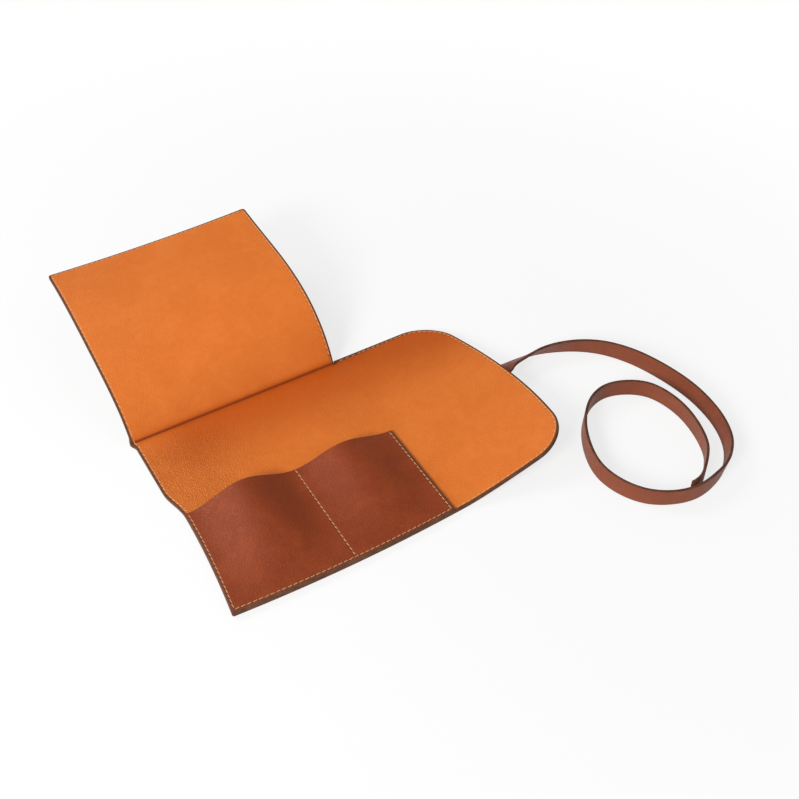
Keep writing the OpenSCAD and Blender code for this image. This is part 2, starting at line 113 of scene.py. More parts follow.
@dataclass(frozen=True)
class RollPlan:
    """The roll's sizes, in millimetres, and the surfaces that its leather follows."""

    # the base, and how its edges bow and draw in
    base_w: float = 140.0
    base_d: float = 146.5
    spine_w: float = 4.5
    front_bow: float = 2.5
    back_inset: float = 1.2
    crease_inset: float = 1.8
    # thicknesses of the outer leather, the lining and the pocket panel
    shell_t: float = 1.4
    lining_t: float = 1.1
    panel_t: float = 1.4
    # the pockets: their depth, the seam between them, their mouth and how high they stand
    pocket_d: float = 75.8
    divider_x: float = 75.0
    mouth_skew: float = 3.0
    mouth_draw: float = 5.4
    draw_power: float = 1.8
    draw_run: float = 24.0
    left_bulge: float = 10.0
    right_bulge: float = 7.0
    # the flap, and its slope along each side edge: see slope()
    flap_w: float = 138.8
    flap_len: float = 144.8
    flap_root_len: float = 20.0
    flap_mid_len: float = 26.0
    flap_corner_r: float = 2.0
    flap_drift: float = 1.4
    flap_sag: float = 1.7
    sag_power: float = 3.0
    left_slope: tuple[float, float, float, float] = (56.4, -6.4, 26.0, 17.7)
    right_slope: tuple[float, float, float, float] = (65.2, 2.8, 54.2, -8.3)
    ease_power: float = 1.5
    # the crease's rounding and groove, and the slit beside it
    crease_soft: float = 1.3
    crease_dip: float = 0.5
    dip_reach: float = 0.8
    dip_through: float = 0.8
    slit: float = 0.4
    # the tongue, and how far its end and its front side lift
    tongue_len: float = 80.5
    tongue_bow: float = 9.0
    tongue_slant: float = 4.2
    tongue_corner_r: float = 21.5
    tongue_lift: float = 10.8
    tongue_skew: float = 10.8
    lift_power: float = 1.3
    # the stitch lines, and the strap with its sewn end
    stitch_inset: float = 1.8
    anchor_len: float = 24.0
    anchor_gap: float = 0.15
    strap_w: float = 12.0
    strap_t: float = 1.6
    strap_offset: float = 5.0
    # where the bare lining lifts: x, y, reach across, reach from front to back, and height
    humps: tuple[tuple[float, float, float, float, float], ...] = (
        (-18, 30, 20, 15, 0.7), (38, 28, 17, 20, 0.6), (-48, 26, 12, 14, 0.8))

    @property
    def x_left(self) -> float:
        """Left end of the pocket field."""
        return -self.base_w / 2

    @property
    def x_pocket_right(self) -> float:
        """Right edge of the pocket panel."""
        return self.base_w / 2

    @property
    def x_fold(self) -> float:
        """The tongue's fold line."""
        return self.x_pocket_right + self.spine_w

    @property
    def y_front(self) -> float:
        """Front end of the base, at its corners."""
        return -self.base_d / 2

    @property
    def y_crease(self) -> float:
        """The crease between the base and the flap."""
        return self.base_d / 2 - self.crease_inset

    @property
    def x_slit(self) -> float:
        """Middle of the short slit that frees the flap's right edge from the tongue."""
        return self.x_left + self.flap_w + self.slit

    @property
    def half_d(self) -> float:
        """Half the tongue's width."""
        return self.base_d / 2

    @property
    def y_past_back(self) -> float:
        """A little past the tongue's back edge."""
        return self.half_d + 1

    @property
    def body_t(self) -> float:
        """Thickness of the outer leather and the lining together."""
        return self.shell_t + self.lining_t

    @property
    def x_divider(self) -> float:
        """The seam between the two pockets."""
        return self.x_left + self.divider_x

    def left_edge(self, y: Array) -> Array:
        """The base's left edge, which the full pocket draws in.

        Args:
            y: places along the edge.

        Returns:
            The edge's x at those places.
        """
        d = np.asarray(y, float) - self.y_front
        front = self.mouth_draw * (
            1 - (1 - np.clip(d, 0, self.pocket_d) / self.pocket_d) ** self.draw_power)
        back = self.mouth_draw + (self.back_inset - self.mouth_draw) * smooth(
            (d - self.pocket_d) / self.draw_run)
        return self.x_left + np.where(d <= self.pocket_d, front, back)

    def front_edge(self, x: Array) -> Array:
        """The front edge's y, bowed out at its middle."""
        u = np.clip((np.asarray(x, float) - self.x_left) / (self.x_fold - self.x_left), 0, 1)
        return self.y_front - self.front_bow * 4 * u * (1 - u)

    def mouth_y(self, x: Array) -> Array:
        """The pocket mouth's y."""
        return self.y_front + self.pocket_d - self.mouth_skew * np.clip(
            (np.asarray(x, float) - self.x_left) / self.base_w, 0, 1)

    def tongue_end(self, y: Array) -> Array:
        """How far the tongue reaches from its fold.

        Args:
            y: places across the tongue.

        Returns:
            Its length at those places.
        """
        r = self.tongue_corner_r
        q = np.clip((np.abs(y) - (self.half_d - r)) / r, 0, 1)
        y = np.asarray(y) / self.half_d
        return (self.tongue_len - self.tongue_bow * y ** 2 - self.tongue_slant * y
                - r * (1 - np.sqrt(1 - q * q)))

    def bulge(self, x: Array, y: Array) -> Array:
        """How high the pockets are moulded over the flat leather.

        Args:
            x: places across.
            y: places from front to back.

        Returns:
            The heights there.
        """
        seam_front = self.y_front + self.stitch_inset
        seam_left = self.left_edge(y) + self.stitch_inset
        seam_right = self.x_pocket_right - self.stitch_inset
        deep = np.clip((y - seam_front) / (self.mouth_y(x) - seam_front), 0, 1)
        left = np.clip((x - seam_left) / (self.x_divider - seam_left), 0, 1)
        right = np.clip((x - self.x_divider) / (seam_right - self.x_divider), 0, 1)
        return np.sin(np.pi / 2 * deep) * np.where(
            x < self.x_divider, self.left_bulge * np.sin(np.pi * left) ** 2,
            self.right_bulge * np.sin(np.pi * right) ** 2)

    def slope(self, edge: Sequence[float], s: Array) -> Array:
        """The flap's slope in degrees along one of its edges.

        Args:
            edge: slope at the crease, at the free end, easing length and slow wave.
            s: distance up from the crease.

        Returns:
            The slopes there.
        """
        s = np.maximum(s, 0)
        return (edge[1] + (edge[0] - edge[1]) * np.exp(-(s / edge[2]) ** self.ease_power)
                + edge[3] * np.sin(np.pi * s / self.flap_len))

    @cached_property
    def profiles(self) -> tuple[Array, Array, Array]:
        """Distances up the flap, and how far back and up its left and right edges are there."""
        step, past_end = 0.25, 2
        mid = np.arange(step / 2, self.flap_len + past_end, step)
        s = np.concatenate([[0], mid + step / 2])
        out = []
        for edge in (self.left_slope, self.right_slope):
            a = np.radians(self.slope(edge, mid))
            run = np.stack([np.cos(a), np.sin(a)], 1) * step
            out.append(np.concatenate([[[0, 0]], np.cumsum(run, 0)]))
        return s, out[0], out[1]

    def flap_point(self, x: Array, s: Array, n: Array) -> Array:
        """Points of the flap.

        Args:
            x: flat x.
            s: distance up from the crease; below 0 it is the base.
            n: height over the lining.

        Returns:
            The points, one a row.
        """
        table, left, right = self.profiles
        drift = self.flap_drift * np.maximum(s, 0) / self.flap_len
        u = (x - self.x_left - drift) / self.flap_w
        up = np.zeros((len(x), 3))
        back_up = np.zeros((len(x), 2))
        for share, profile, edge in ((1 - u, left, self.left_slope), (u, right, self.right_slope)):
            a = np.where(s < 0, 0, np.radians(self.slope(edge, s)))
            up += share[:, None] * np.stack([0 * a, -np.sin(a), np.cos(a)], 1)
            at = np.stack([np.interp(s, table, profile[:, k]) for k in (0, 1)], 1)
            back_up += share[:, None] * at
        base = np.stack([x, self.y_crease + np.minimum(s, 0) + back_up[:, 0],
                         self.body_t + back_up[:, 1]], 1)
        base[:, 2] -= self.flap_sag * 4 * u * (1 - u) * (
            np.maximum(s, 0) / self.flap_len) ** self.sag_power
        return base + unit(up) * n[:, None]

    def tongue_point(self, t: Array, y: Array, n: Array) -> Array:
        """Points of the tongue.

        Args:
            t: distance out from its fold.
            y: places across.
            n: height over the outer leather's underside.

        Returns:
            The points, one a row.
        """
        lift = self.tongue_lift - self.tongue_skew * y / self.half_d
        share = t / self.tongue_len
        steep = self.lift_power * lift * share ** (self.lift_power - 1) / self.tongue_len
        raised = share ** self.lift_power
        up = unit(np.stack([-steep, self.tongue_skew / self.half_d * raised,
                            np.ones(len(t))], 1))
        return np.stack([self.x_fold + t, y, lift * raised], 1) + up * n[:, None]

    def slack(self, q: Array) -> Array:
        """How far the lining's bare field lifts off flat, where the leather has relaxed.

        Args:
            q: flat coordinates, one point a row.

        Returns:
            The heights there, which ease to 0 at the field's borders.
        """
        x, y = q[:, 0], q[:, 1]
        out = np.zeros(len(q))
        for at_x, at_y, across, deep, high in self.humps:
            out += high * np.exp(-((x - at_x) / across) ** 2 - ((y - at_y) / deep) ** 2)
        crease_gap, side, front = 4, 66, -6
        back_ease, right_ease, left_ease, front_ease = 14, 12, 6, 10
        inside = (smooth((self.y_crease - crease_gap - y) / back_ease)
                  * smooth((side - x) / right_ease))
        return out * inside * smooth((x + side) / left_ease) * smooth((y - front) / front_ease)

    def soft_crease(self, x: Array, s: Array, n: Array) -> Array:
        """Points of the flap near the crease, averaged along it, so that the fold is round.

        Args:
            x: flat x.
            s: distance up from the crease; below 0 it is the base.
            n: height over the lining.

        Returns:
            The points, one a row.
        """
        samples = 9
        offsets = np.linspace(-1, 1, samples) * self.crease_soft
        weights = np.full(samples, 1 / (samples - 1))
        weights[[0, -1]] /= 2
        soft, ups = np.zeros((len(x), 3)), np.zeros((len(x), 3))
        for offset, weight in zip(offsets, weights):
            here = self.flap_point(x, s + offset, 0 * n)
            soft += weight * here
            ups += weight * (self.flap_point(x, s + offset, 0 * n + 1) - here)
        return soft + unit(ups) * n[:, None]

    def place(self, q: Array, n: Array) -> Array:
        """Bends flat leather into its resting shape.

        Args:
            q: flat coordinates, one point a row.
            n: height over the lining's top face.

        Returns:
            The points in the row frame, in millimetres.
        """
        s = q[:, 1] - self.y_crease
        past_slit = 0.3
        left = (q[:, 0] < self.x_slit) | (s > self.crease_inset + past_slit)
        dip = (self.crease_dip * np.exp(-(s / self.dip_reach) ** 2)
               * np.clip(1 + n / self.dip_through, 0, 1))
        n = n - np.where(left, dip, 0)
        out = np.stack([q[:, 0], q[:, 1], self.body_t + n + self.slack(q)], 1)
        flap = left & (s > -self.crease_soft)
        if flap.any():
            x, s_here, n_here = q[flap, 0], s[flap], n[flap]
            near = (np.abs(s_here) < self.crease_soft)[:, None]
            out[flap] = np.where(near, self.soft_crease(x, s_here, n_here),
                                 self.flap_point(x, s_here, n_here))
        tongue = (q[:, 0] > self.x_fold) & (q[:, 1] <= self.y_past_back)
        if tongue.any():
            out[tongue] = self.tongue_point(
                q[tongue, 0] - self.x_fold, q[tongue, 1], self.body_t + n[tongue])
        return out

    def place_pocket(self, q: Array, n: Array) -> Array:
        """Points of the pocket panel, n over its underside."""
        return np.stack([q[:, 0], q[:, 1], self.body_t + self.bulge(q[:, 0], q[:, 1]) + n], 1)


PLAN = RollPlan()


# ---- Flat cuts of leather


@dataclass(frozen=True)
class Outline:
    """A closed outline, run anticlockwise, and the way in from each of its points."""

    points: Array
    inward: Array

    @classmethod
    def through(cls, points: Array, seams: Sequence[tuple[int, float]] = ()) -> "Outline":
        """Makes an outline of a run of points.

        Args:
            points: the outline, anticlockwise, not closed.
            seams: cuts as (axis, value); a point on one moves in along the cut.

        Returns:
            The outline.
        """
        keep = np.linalg.norm(points - np.roll(points, 1, 0), axis=1) > SAME
        points = points[keep]
        ahead = unit(np.roll(points, -1, 0) - points)
        turned = np.stack([-ahead[:, 1], ahead[:, 0]], 1)
        before = np.roll(turned, 1, 0)
        inward = unit(turned + before)
        sharpest = 0.5
        inward /= np.maximum((inward * turned).sum(1, keepdims=True), sharpest)
        for axis, value in seams:
            on = np.abs(points[:, axis] - value) < SAME
            inward[on, axis] = 0
        return cls(points, inward)

    def distance(self, q: Array) -> Array:
        """How far each point lies from the outline.

        Args:
            q: points, one a row.

        Returns:
            The distances.
        """
        a, b = self.points, np.roll(self.points, -1, 0)
        best = np.full(len(q), FAR)
        for start, end in zip(a, b):
            d = end - start
            t = np.clip(((q - start) @ d) / max(d @ d, TINY), 0, 1)
            best = np.minimum(best, np.linalg.norm(q - start - t[:, None] * d, axis=1))
        return best


def run_length(points: Array) -> Array:
    """How far along a run of points each of them lies."""
    return np.concatenate([[0], np.cumsum(np.linalg.norm(np.diff(points, axis=0), axis=1))])


def corner(at: Sequence[float], before: Sequence[float], after: Sequence[float],
           radius: float, steps: int = 6) -> Array:
    """A rounded convex corner.

    Args:
        at: where the two straight edges would meet.
        before: a point on the edge that runs in.
        after: a point on the edge that runs out.
        radius: the corner's radius.
        steps: number of segments.

    Returns:
        The points of the arc.
    """
    at, before, after = (np.array(p, float) for p in (at, before, after))
    run_in, run_out = unit(at - before), unit(after - at)
    turn = math.acos(float(np.clip(run_in @ run_out, -1, 1)))
    start = at - run_in * radius * math.tan(turn / 2)
    left = np.array([-run_in[1], run_in[0]])
    centre = start + left * radius
    angles = np.linspace(0, turn, steps + 1)[:, None]
    return centre + radius * (np.sin(angles) * run_in - np.cos(angles) * left)


def spaced(start: float, end: float, step: float, stops: Sequence[float] = ()) -> Array:
    """Evenly spaced values from start to end that also take in each stop between them."""
    marks = sorted({start, end, *[m for m in stops if min(start, end) < m < max(start, end)]},
                   reverse=bool(start > end))
    parts = [np.linspace(a, b, max(2, int(round(abs(b - a) / step)) + 1))[:-1]
             for a, b in zip(marks, marks[1:])]
    return np.concatenate([*parts, [end]])


@dataclass(frozen=True)
class FlatCut:
    """A flat piece as a mesh, with its boundary loop and how far in each point lies."""

    points: Array
    inset: Array
    faces: list[tuple[int, ...]]
    painted: list[bool]
    rim: list[int]
    rim_free: list[bool]


@dataclass(frozen=True)
class Window:
    """The part of the flat plan that one piece takes in."""

    x_min: float = -FAR
    x_max: float = FAR
    y_min: float = -FAR
    y_max: float = FAR

    def holds(self, q: Array) -> Array:
        """Which points lie in the window, its borders among them."""
        x, y = q[:, 0], q[:, 1]
        return ((x >= self.x_min - SAME) & (x <= self.x_max + SAME)
                & (y >= self.y_min - SAME) & (y <= self.y_max + SAME))

    def borders(self) -> list[tuple[int, float]]:
        """The window's cuts, as (axis, value)."""
        sides = ((0, self.x_min), (0, self.x_max), (1, self.y_min), (1, self.y_max))
        return [(axis, value) for axis, value in sides if abs(value) < FAR]


def inside_polygon(q: Array, loop: Array) -> Array:
    """Which points lie inside a closed polygon.

    Args:
        q: points, one a row.
        loop: the polygon's corners.

    Returns:
        True for each point inside.
    """
    a, b = loop, np.roll(loop, -1, 0)
    inside = np.zeros(len(q), bool)
    for (x0, y0), (x1, y1) in zip(a, b):
        if y0 != y1:
            crosses = (y0 > q[:, 1]) != (y1 > q[:, 1])
            inside ^= crosses & (q[:, 0] < x0 + (q[:, 1] - y0) * (x1 - x0) / (y1 - y0))
    return inside


@dataclass
class FlatCutter:
    """Cuts the part of an outline in a window, and meshes it flat.

    Attributes:
        outline: the whole panel.
        window: what this piece takes in.
        insets: distances in from the free edge that get a row of points.
        pitch: spacing of the inner points.
        rows: values of y that get rows of points of their own.
        lead: distance from a cut to the row beside it, which keeps shading even across it.
        rows_clear: how far the even grid keeps from the rows of their own.
        edge_clear: how far the inner points keep from the free edge, as a share of the pitch.
    """

    outline: Outline
    window: Window
    insets: Sequence[float]
    pitch: float
    rows: Sequence[float] = ()
    lead: float = 0.4
    rows_clear: float = 0.6
    edge_clear: float = 0.55
    points: list[Array] = field(default_factory=list)
    inset: list[float] = field(default_factory=list)
    faces: list[tuple[int, ...]] = field(default_factory=list)
    painted: list[bool] = field(default_factory=list)

    def add(self, point: Array, inset: float) -> int:
        """Keeps a point and returns its number."""
        self.points.append(point)
        self.inset.append(inset)
        return len(self.points) - 1

    def even_marks(self, low: float, high: float) -> Array:
        """The even grid's values from low to high."""
        first, last = math.ceil(low / self.pitch), math.floor(high / self.pitch)
        return np.arange(first, last + 1) * self.pitch

    def held_runs(self) -> list[list[int]]:
        """The outline's points that lie in the window, in unbroken runs."""
        held = self.window.holds(self.outline.points)
        count = len(held)
        runs = []
        for start in [i for i in range(count) if held[i] and not held[i - 1]] or [0]:
            run = [start]
            while held[(run[-1] + 1) % count] and (run[-1] + 1) % count != start:
                run.append((run[-1] + 1) % count)
            runs.append(run)
        return runs

    def edge_strips(self, run: Sequence[int], closed: bool) -> list[list[int]]:
        """Lays the rounded strips along one run of the free edge.

        Args:
            run: numbers of the outline's points.
            closed: whether the run goes all the way round.

        Returns:
            The rows of points, from the edge inwards.
        """
        strips = [[self.add(self.outline.points[i] + self.outline.inward[i] * d, d) for i in run]
                  for d in self.insets]
        for outer, inner in zip(strips, strips[1:]):
            for j in range(len(run) if closed else len(run) - 1):
                k = (j + 1) % len(run)
                self.faces.append((outer[j], outer[k], inner[k], inner[j]))
                self.painted.append(True)
        return strips

    def cut_line(self, start: Array, end: Array) -> list[int]:
        """Adds the points of a straight cut, between the two ends of the free edge.

        Args:
            start: where the cut starts.
            end: where it ends.

        Returns:
            The numbers of the points between them.
        """
        axis = 0 if abs(start[0] - end[0]) > abs(start[1] - end[1]) else 1
        low, high = sorted((start[axis], end[axis]))
        half = self.pitch / 2
        marks = [m for m in self.even_marks(low, high) if low + half < m < high - half]
        line = []
        for mark in marks if start[axis] < end[axis] else marks[::-1]:
            point = np.array(start)
            point[axis] = mark
            line.append(self.add(point, FAR))
        return line

    def boundary(self) -> tuple[list[int], list[int], list[bool]]:
        """Goes round the piece, along its free edge and its cuts.

        Returns:
            The loop that the inner points fill, the rim, and which of the rim's sides are free.
        """
        runs = self.held_runs()
        whole = len(runs[0]) == len(self.outline.points)
        ladders = [self.edge_strips(run, whole) for run in runs]
        if whole:
            rim = ladders[0][0]
            return ladders[0][-1], rim, [True] * len(rim)
        loop, rim, rim_free = [], [], []
        for strips, after in zip(ladders, ladders[1:] + ladders[:1]):
            line = self.cut_line(self.points[strips[-1][-1]], self.points[after[-1][0]])
            way = [row[-1] for row in strips[1:]] + line + [row[0] for row in after[:0:-1]]
            loop += strips[-1] + line
            rim += strips[0] + way
            rim_free += [True] * (len(strips[0]) - 1) + [False] * (len(way) + 1)
        return loop, rim, rim_free

    def lattice(self, loop: Array) -> Array:
        """The inner points: an even grid, rows beside the cuts, and the rows of their own.

        Args:
            loop: corners of the loop that they fill.

        Returns:
            The points, one a row.
        """
        low, high = loop.min(0), loop.max(0)
        grid = [self.even_marks(a, b) for a, b in zip(low, high)]
        lattice = np.array([(x, y) for x in grid[0] for y in grid[1]])
        clear = max(self.lead * 2, self.pitch / 3)
        for axis, value in self.window.borders():
            lattice = lattice[np.abs(lattice[:, axis] - value) > clear]
            across = grid[1 - axis]
            for side in (-self.lead, self.lead):
                row = np.zeros((len(across), 2))
                row[:, axis], row[:, 1 - axis] = value + side, across
                lattice = np.concatenate([lattice, row])
        if self.rows and min(self.rows) < high[1] and max(self.rows) > low[1]:
            below = lattice[:, 1] < min(self.rows) - self.rows_clear
            above = lattice[:, 1] > max(self.rows) + self.rows_clear
            extra = np.array([(x, y) for y in self.rows for x in grid[0]])
            lattice = np.concatenate([lattice[below | above], extra])
        return lattice[inside_polygon(lattice, loop)]

    def fill(self, loop: Sequence[int]) -> None:
        """Fills a loop with inner points, and joins them all by triangles."""
        free = np.array([self.points[i] for i in loop if self.inset[i] < FAR])
        lattice = self.lattice(np.array([self.points[i] for i in loop]))
        first, batch = len(self.points), 4000
        for start in range(0, len(lattice), batch):
            part = lattice[start:start + batch]
            near = np.linalg.norm(part[:, None] - free[None], axis=2).min(1)
            for point in part[near > self.pitch * self.edge_clear]:
                self.add(point, FAR)
        used = [*loop, *range(first, len(self.points))]
        inside_only, merge_within, least_area = 1, 1e-7, 1e-9
        _, _, made, origin, _, _ = delaunay_2d_cdt(
            [Vector(self.points[i]) for i in used], [], [list(range(len(loop)))],
            inside_only, merge_within)
        for face in made:
            ids = [used[origin[v][0]] for v in face]
            a, b, c = (self.points[i] for i in ids)
            area = (b[0] - a[0]) * (c[1] - a[1]) - (b[1] - a[1]) * (c[0] - a[0])
            if abs(area) > least_area:
                self.faces.append(tuple(ids if area > 0 else ids[::-1]))
                self.painted.append(False)

    def cut(self) -> FlatCut:
        """Cuts and meshes the piece.

        Returns:
            The flat mesh.
        """
        loop, rim, rim_free = self.boundary()
        self.fill(loop)
        return FlatCut(np.array(self.points), np.array(self.inset), self.faces, self.painted,
                       rim, rim_free)


@dataclass(frozen=True)
class Layer:
    """One layer of leather: its two faces and how its edges are rounded, in millimetres."""

    low: float
    high: float
    round_low: float = 0.0
    round_high: float = 0.0


def rounded_drop(inset: Array, radius: float) -> Array:
    """How far a rounded edge lies below the face, that far in from the edge."""
    if radius <= 0:
        return 0 * inset
    short = radius - np.clip(inset, 0, radius)
    return radius - np.sqrt(radius ** 2 - short ** 2)


def edge_insets(radius: float, steps: int = 4) -> list[float]:
    """Distances in from the edge at which a rounded edge gets its rows of points."""
    return [radius * (1 - math.cos(math.pi / 2 * i / steps)) for i in range(steps + 1)]


def link(mesh: bpy.types.Mesh, name: str) -> bpy.types.Object:
    """Puts a mesh in the scene as an object at the origin."""
    thing = bpy.data.objects.new(name, mesh)
    bpy.context.scene.collection.objects.link(thing)
    return thing


def leather_mesh(name: str, points: Array, faces: Sequence[tuple[int, ...]], flat: Array,
                 finishes: Sequence[bpy.types.Material], kinds: Sequence[int],
                 sharp_deg: float) -> bpy.types.Mesh:
    """Makes a mesh of leather, with its flat coordinates as its UV map.

    Args:
        name: the mesh's name.
        points: its points, in millimetres.
        faces: its faces.
        flat: the flat coordinates of each point, in millimetres.
        finishes: its materials.
        kinds: which of the materials each face has.
        sharp_deg: the angle between two faces from which their shared edge is sharp.

    Returns:
        The mesh.
    """
    mesh = bpy.data.meshes.new(name)
    mesh.from_pydata((points * MM).tolist(), [], faces)
    for finish in finishes:
        mesh.materials.append(finish)
    mesh.polygons.foreach_set("material_index", np.array(kinds, np.int32))
    mesh.polygons.foreach_set("use_smooth", np.ones(len(faces), bool))
    corners = np.zeros(len(mesh.loops), np.int32)
    mesh.loops.foreach_get("vertex_index", corners)
    mesh.uv_layers.new(name="hide").data.foreach_set("uv", (flat * MM)[corners].ravel())
    mesh.set_sharp_from_angle(angle=math.radians(sharp_deg))
    mesh.validate()
    return mesh


class Side(IntEnum):
    """The sides of a piece of leather, in the order of its materials."""

    FACE = 0
    UNDER = 1
    EDGE = 2


@dataclass(frozen=True)
class LeatherPiece:
    """A closed piece of leather, made of a flat cut, a layer and a bent surface."""

    name: str
    cut: FlatCut
    layer: Layer
    place: Place
    edge_mm: Array
    face_finish: bpy.types.Material
    under_finish: bpy.types.Material
    edge_finish: bpy.types.Material
    thin: Array | None = None
    sharp_deg: float = 48.0

    def build(self) -> bpy.types.Object:
        """Makes the mesh: top, underside and rim.

        Returns:
            The object, at the origin.
        """
        cut, layer = self.cut, self.layer
        count = len(cut.points)
        less = np.ones(count) if self.thin is None else self.thin
        high = layer.high - rounded_drop(cut.inset, layer.round_high) * less
        low = layer.low + rounded_drop(cut.inset, layer.round_low)
        points = np.concatenate([self.place(cut.points, high), self.place(cut.points, low)])
        faces, kinds = [], []
        for face, paint in zip(cut.faces, cut.painted):
            faces.append(face)
            kinds.append(Side.EDGE if paint and layer.round_high > 0 else Side.FACE)
            faces.append(tuple(count + i for i in face[::-1]))
            kinds.append(Side.EDGE if paint and layer.round_low > 0 else Side.UNDER)
        for i, j, free in zip(cut.rim, cut.rim[1:] + cut.rim[:1], cut.rim_free):
            faces.append((count + i, count + j, j, i))
            kinds.append(Side.EDGE if free else Side.FACE)
        mesh = leather_mesh(
            self.name, points, faces, np.concatenate([cut.points, cut.points]),
            (self.face_finish, self.under_finish, self.edge_finish), kinds, self.sharp_deg)
        edge = np.concatenate([self.edge_mm, self.edge_mm])
        mesh.attributes.new("edge_mm", "FLOAT", "POINT").data.foreach_set(
            "value", edge.astype(np.float32))
        return link(mesh, self.name)


# ---- Finishes


class NodeBench:
    """Lays out shader nodes and joins them."""

    # a Mix node has sockets for numbers and vectors before those for its two colours
    MIX_FIRST, MIX_SECOND, MIX_RESULT = 6, 7, 2

    def __init__(self, name: str) -> None:
        """Starts a material with its shader and output."""
        self.material = bpy.data.materials.new(name)
        self.material.use_nodes = True
        self.tree = self.material.node_tree
        self.shader = self.tree.nodes["Principled BSDF"]

    def node(self, kind: str, inputs: dict | None = None, **settings) -> bpy.types.Node:
        """Adds a node.

        Args:
            kind: the node's type.
            inputs: values or sockets for its inputs, by name or number.
            **settings: properties of the node itself.

        Returns:
            The node.
        """
        made = self.tree.nodes.new(kind)
        for key, value in settings.items():
            setattr(made, key, value)
        for key, value in (inputs or {}).items():
            self.feed(made.inputs[key], value)
        return made

    def feed(self, socket: bpy.types.NodeSocket, value: object) -> None:
        """Links a socket to an output, or sets its value."""
        if isinstance(value, bpy.types.NodeSocket):
            self.tree.links.new(value, socket)
        else:
            socket.default_value = value

    def math(self, operation: str, *values: object) -> bpy.types.NodeSocket:
        """Adds a Math node and returns its result."""
        made = self.node("ShaderNodeMath", dict(enumerate(values)), operation=operation)
        return made.outputs[0]

    def span(self, value: object, low: float, high: float, out_low: float = 0.0,
             out_high: float = 1.0) -> bpy.types.NodeSocket:
        """Maps a range on to another, smoothly and clamped, and returns the result."""
        made = self.node("ShaderNodeMapRange", {
            "Value": value, "From Min": low, "From Max": high, "To Min": out_low,
            "To Max": out_high}, interpolation_type="SMOOTHSTEP")
        return made.outputs["Result"]

    def noise(self, where: object, size_mm: float, detail: float = 3.0,
              rough: float = 0.55, warp: float = 0.0) -> bpy.types.NodeSocket:
        """Cloudy noise with features about that many millimetres across."""
        made = self.node("ShaderNodeTexNoise", {
            "Vector": where, "Scale": 1000 / size_mm, "Detail": detail, "Roughness": rough,
            "Distortion": warp})
        return made.outputs["Fac"]

    def blend(self, share: object, first: object, second: object) -> bpy.types.NodeSocket:
        """Mixes two colours and returns the result."""
        made = self.node("ShaderNodeMix", data_type="RGBA")
        self.feed(made.inputs["Factor"], share)
        for place, value in ((self.MIX_FIRST, first), (self.MIX_SECOND, second)):
            self.feed(made.inputs[place], (*value, 1.0) if isinstance(value, tuple) else value)
        return made.outputs[self.MIX_RESULT]

    def groove(self, value: object, at: float, width: float) -> bpy.types.NodeSocket:
        """1 where a value is at a mark, easing to 0 a width away."""
        away = self.math("ABSOLUTE", self.math("SUBTRACT", value, at))
        return self.span(away, 0.0, width, 1.0, 0.0)

    def surface(self, colour: object, roughness: object, specular: float, height: object,
                strength: float, depth_mm: float) -> bpy.types.Material:
        """Gives the shader its colour, gloss and bumps.

        Args:
            colour: the base colour.
            roughness: how dull the surface is.
            specular: how strongly it reflects.
            height: the bumps' height.
            strength: how strongly they show.
            depth_mm: how deep a height of 1 is, in millimetres.

        Returns:
            The material.
        """
        self.feed(self.shader.inputs["Base Color"], colour)
        self.feed(self.shader.inputs["Roughness"], roughness)
        self.feed(self.shader.inputs["Specular IOR Level"], specular)
        bump = self.node("ShaderNodeBump", {
            "Strength": strength, "Distance": depth_mm * MM, "Height": height})
        self.feed(self.shader.inputs["Normal"], bump.outputs["Normal"])
        return self.material


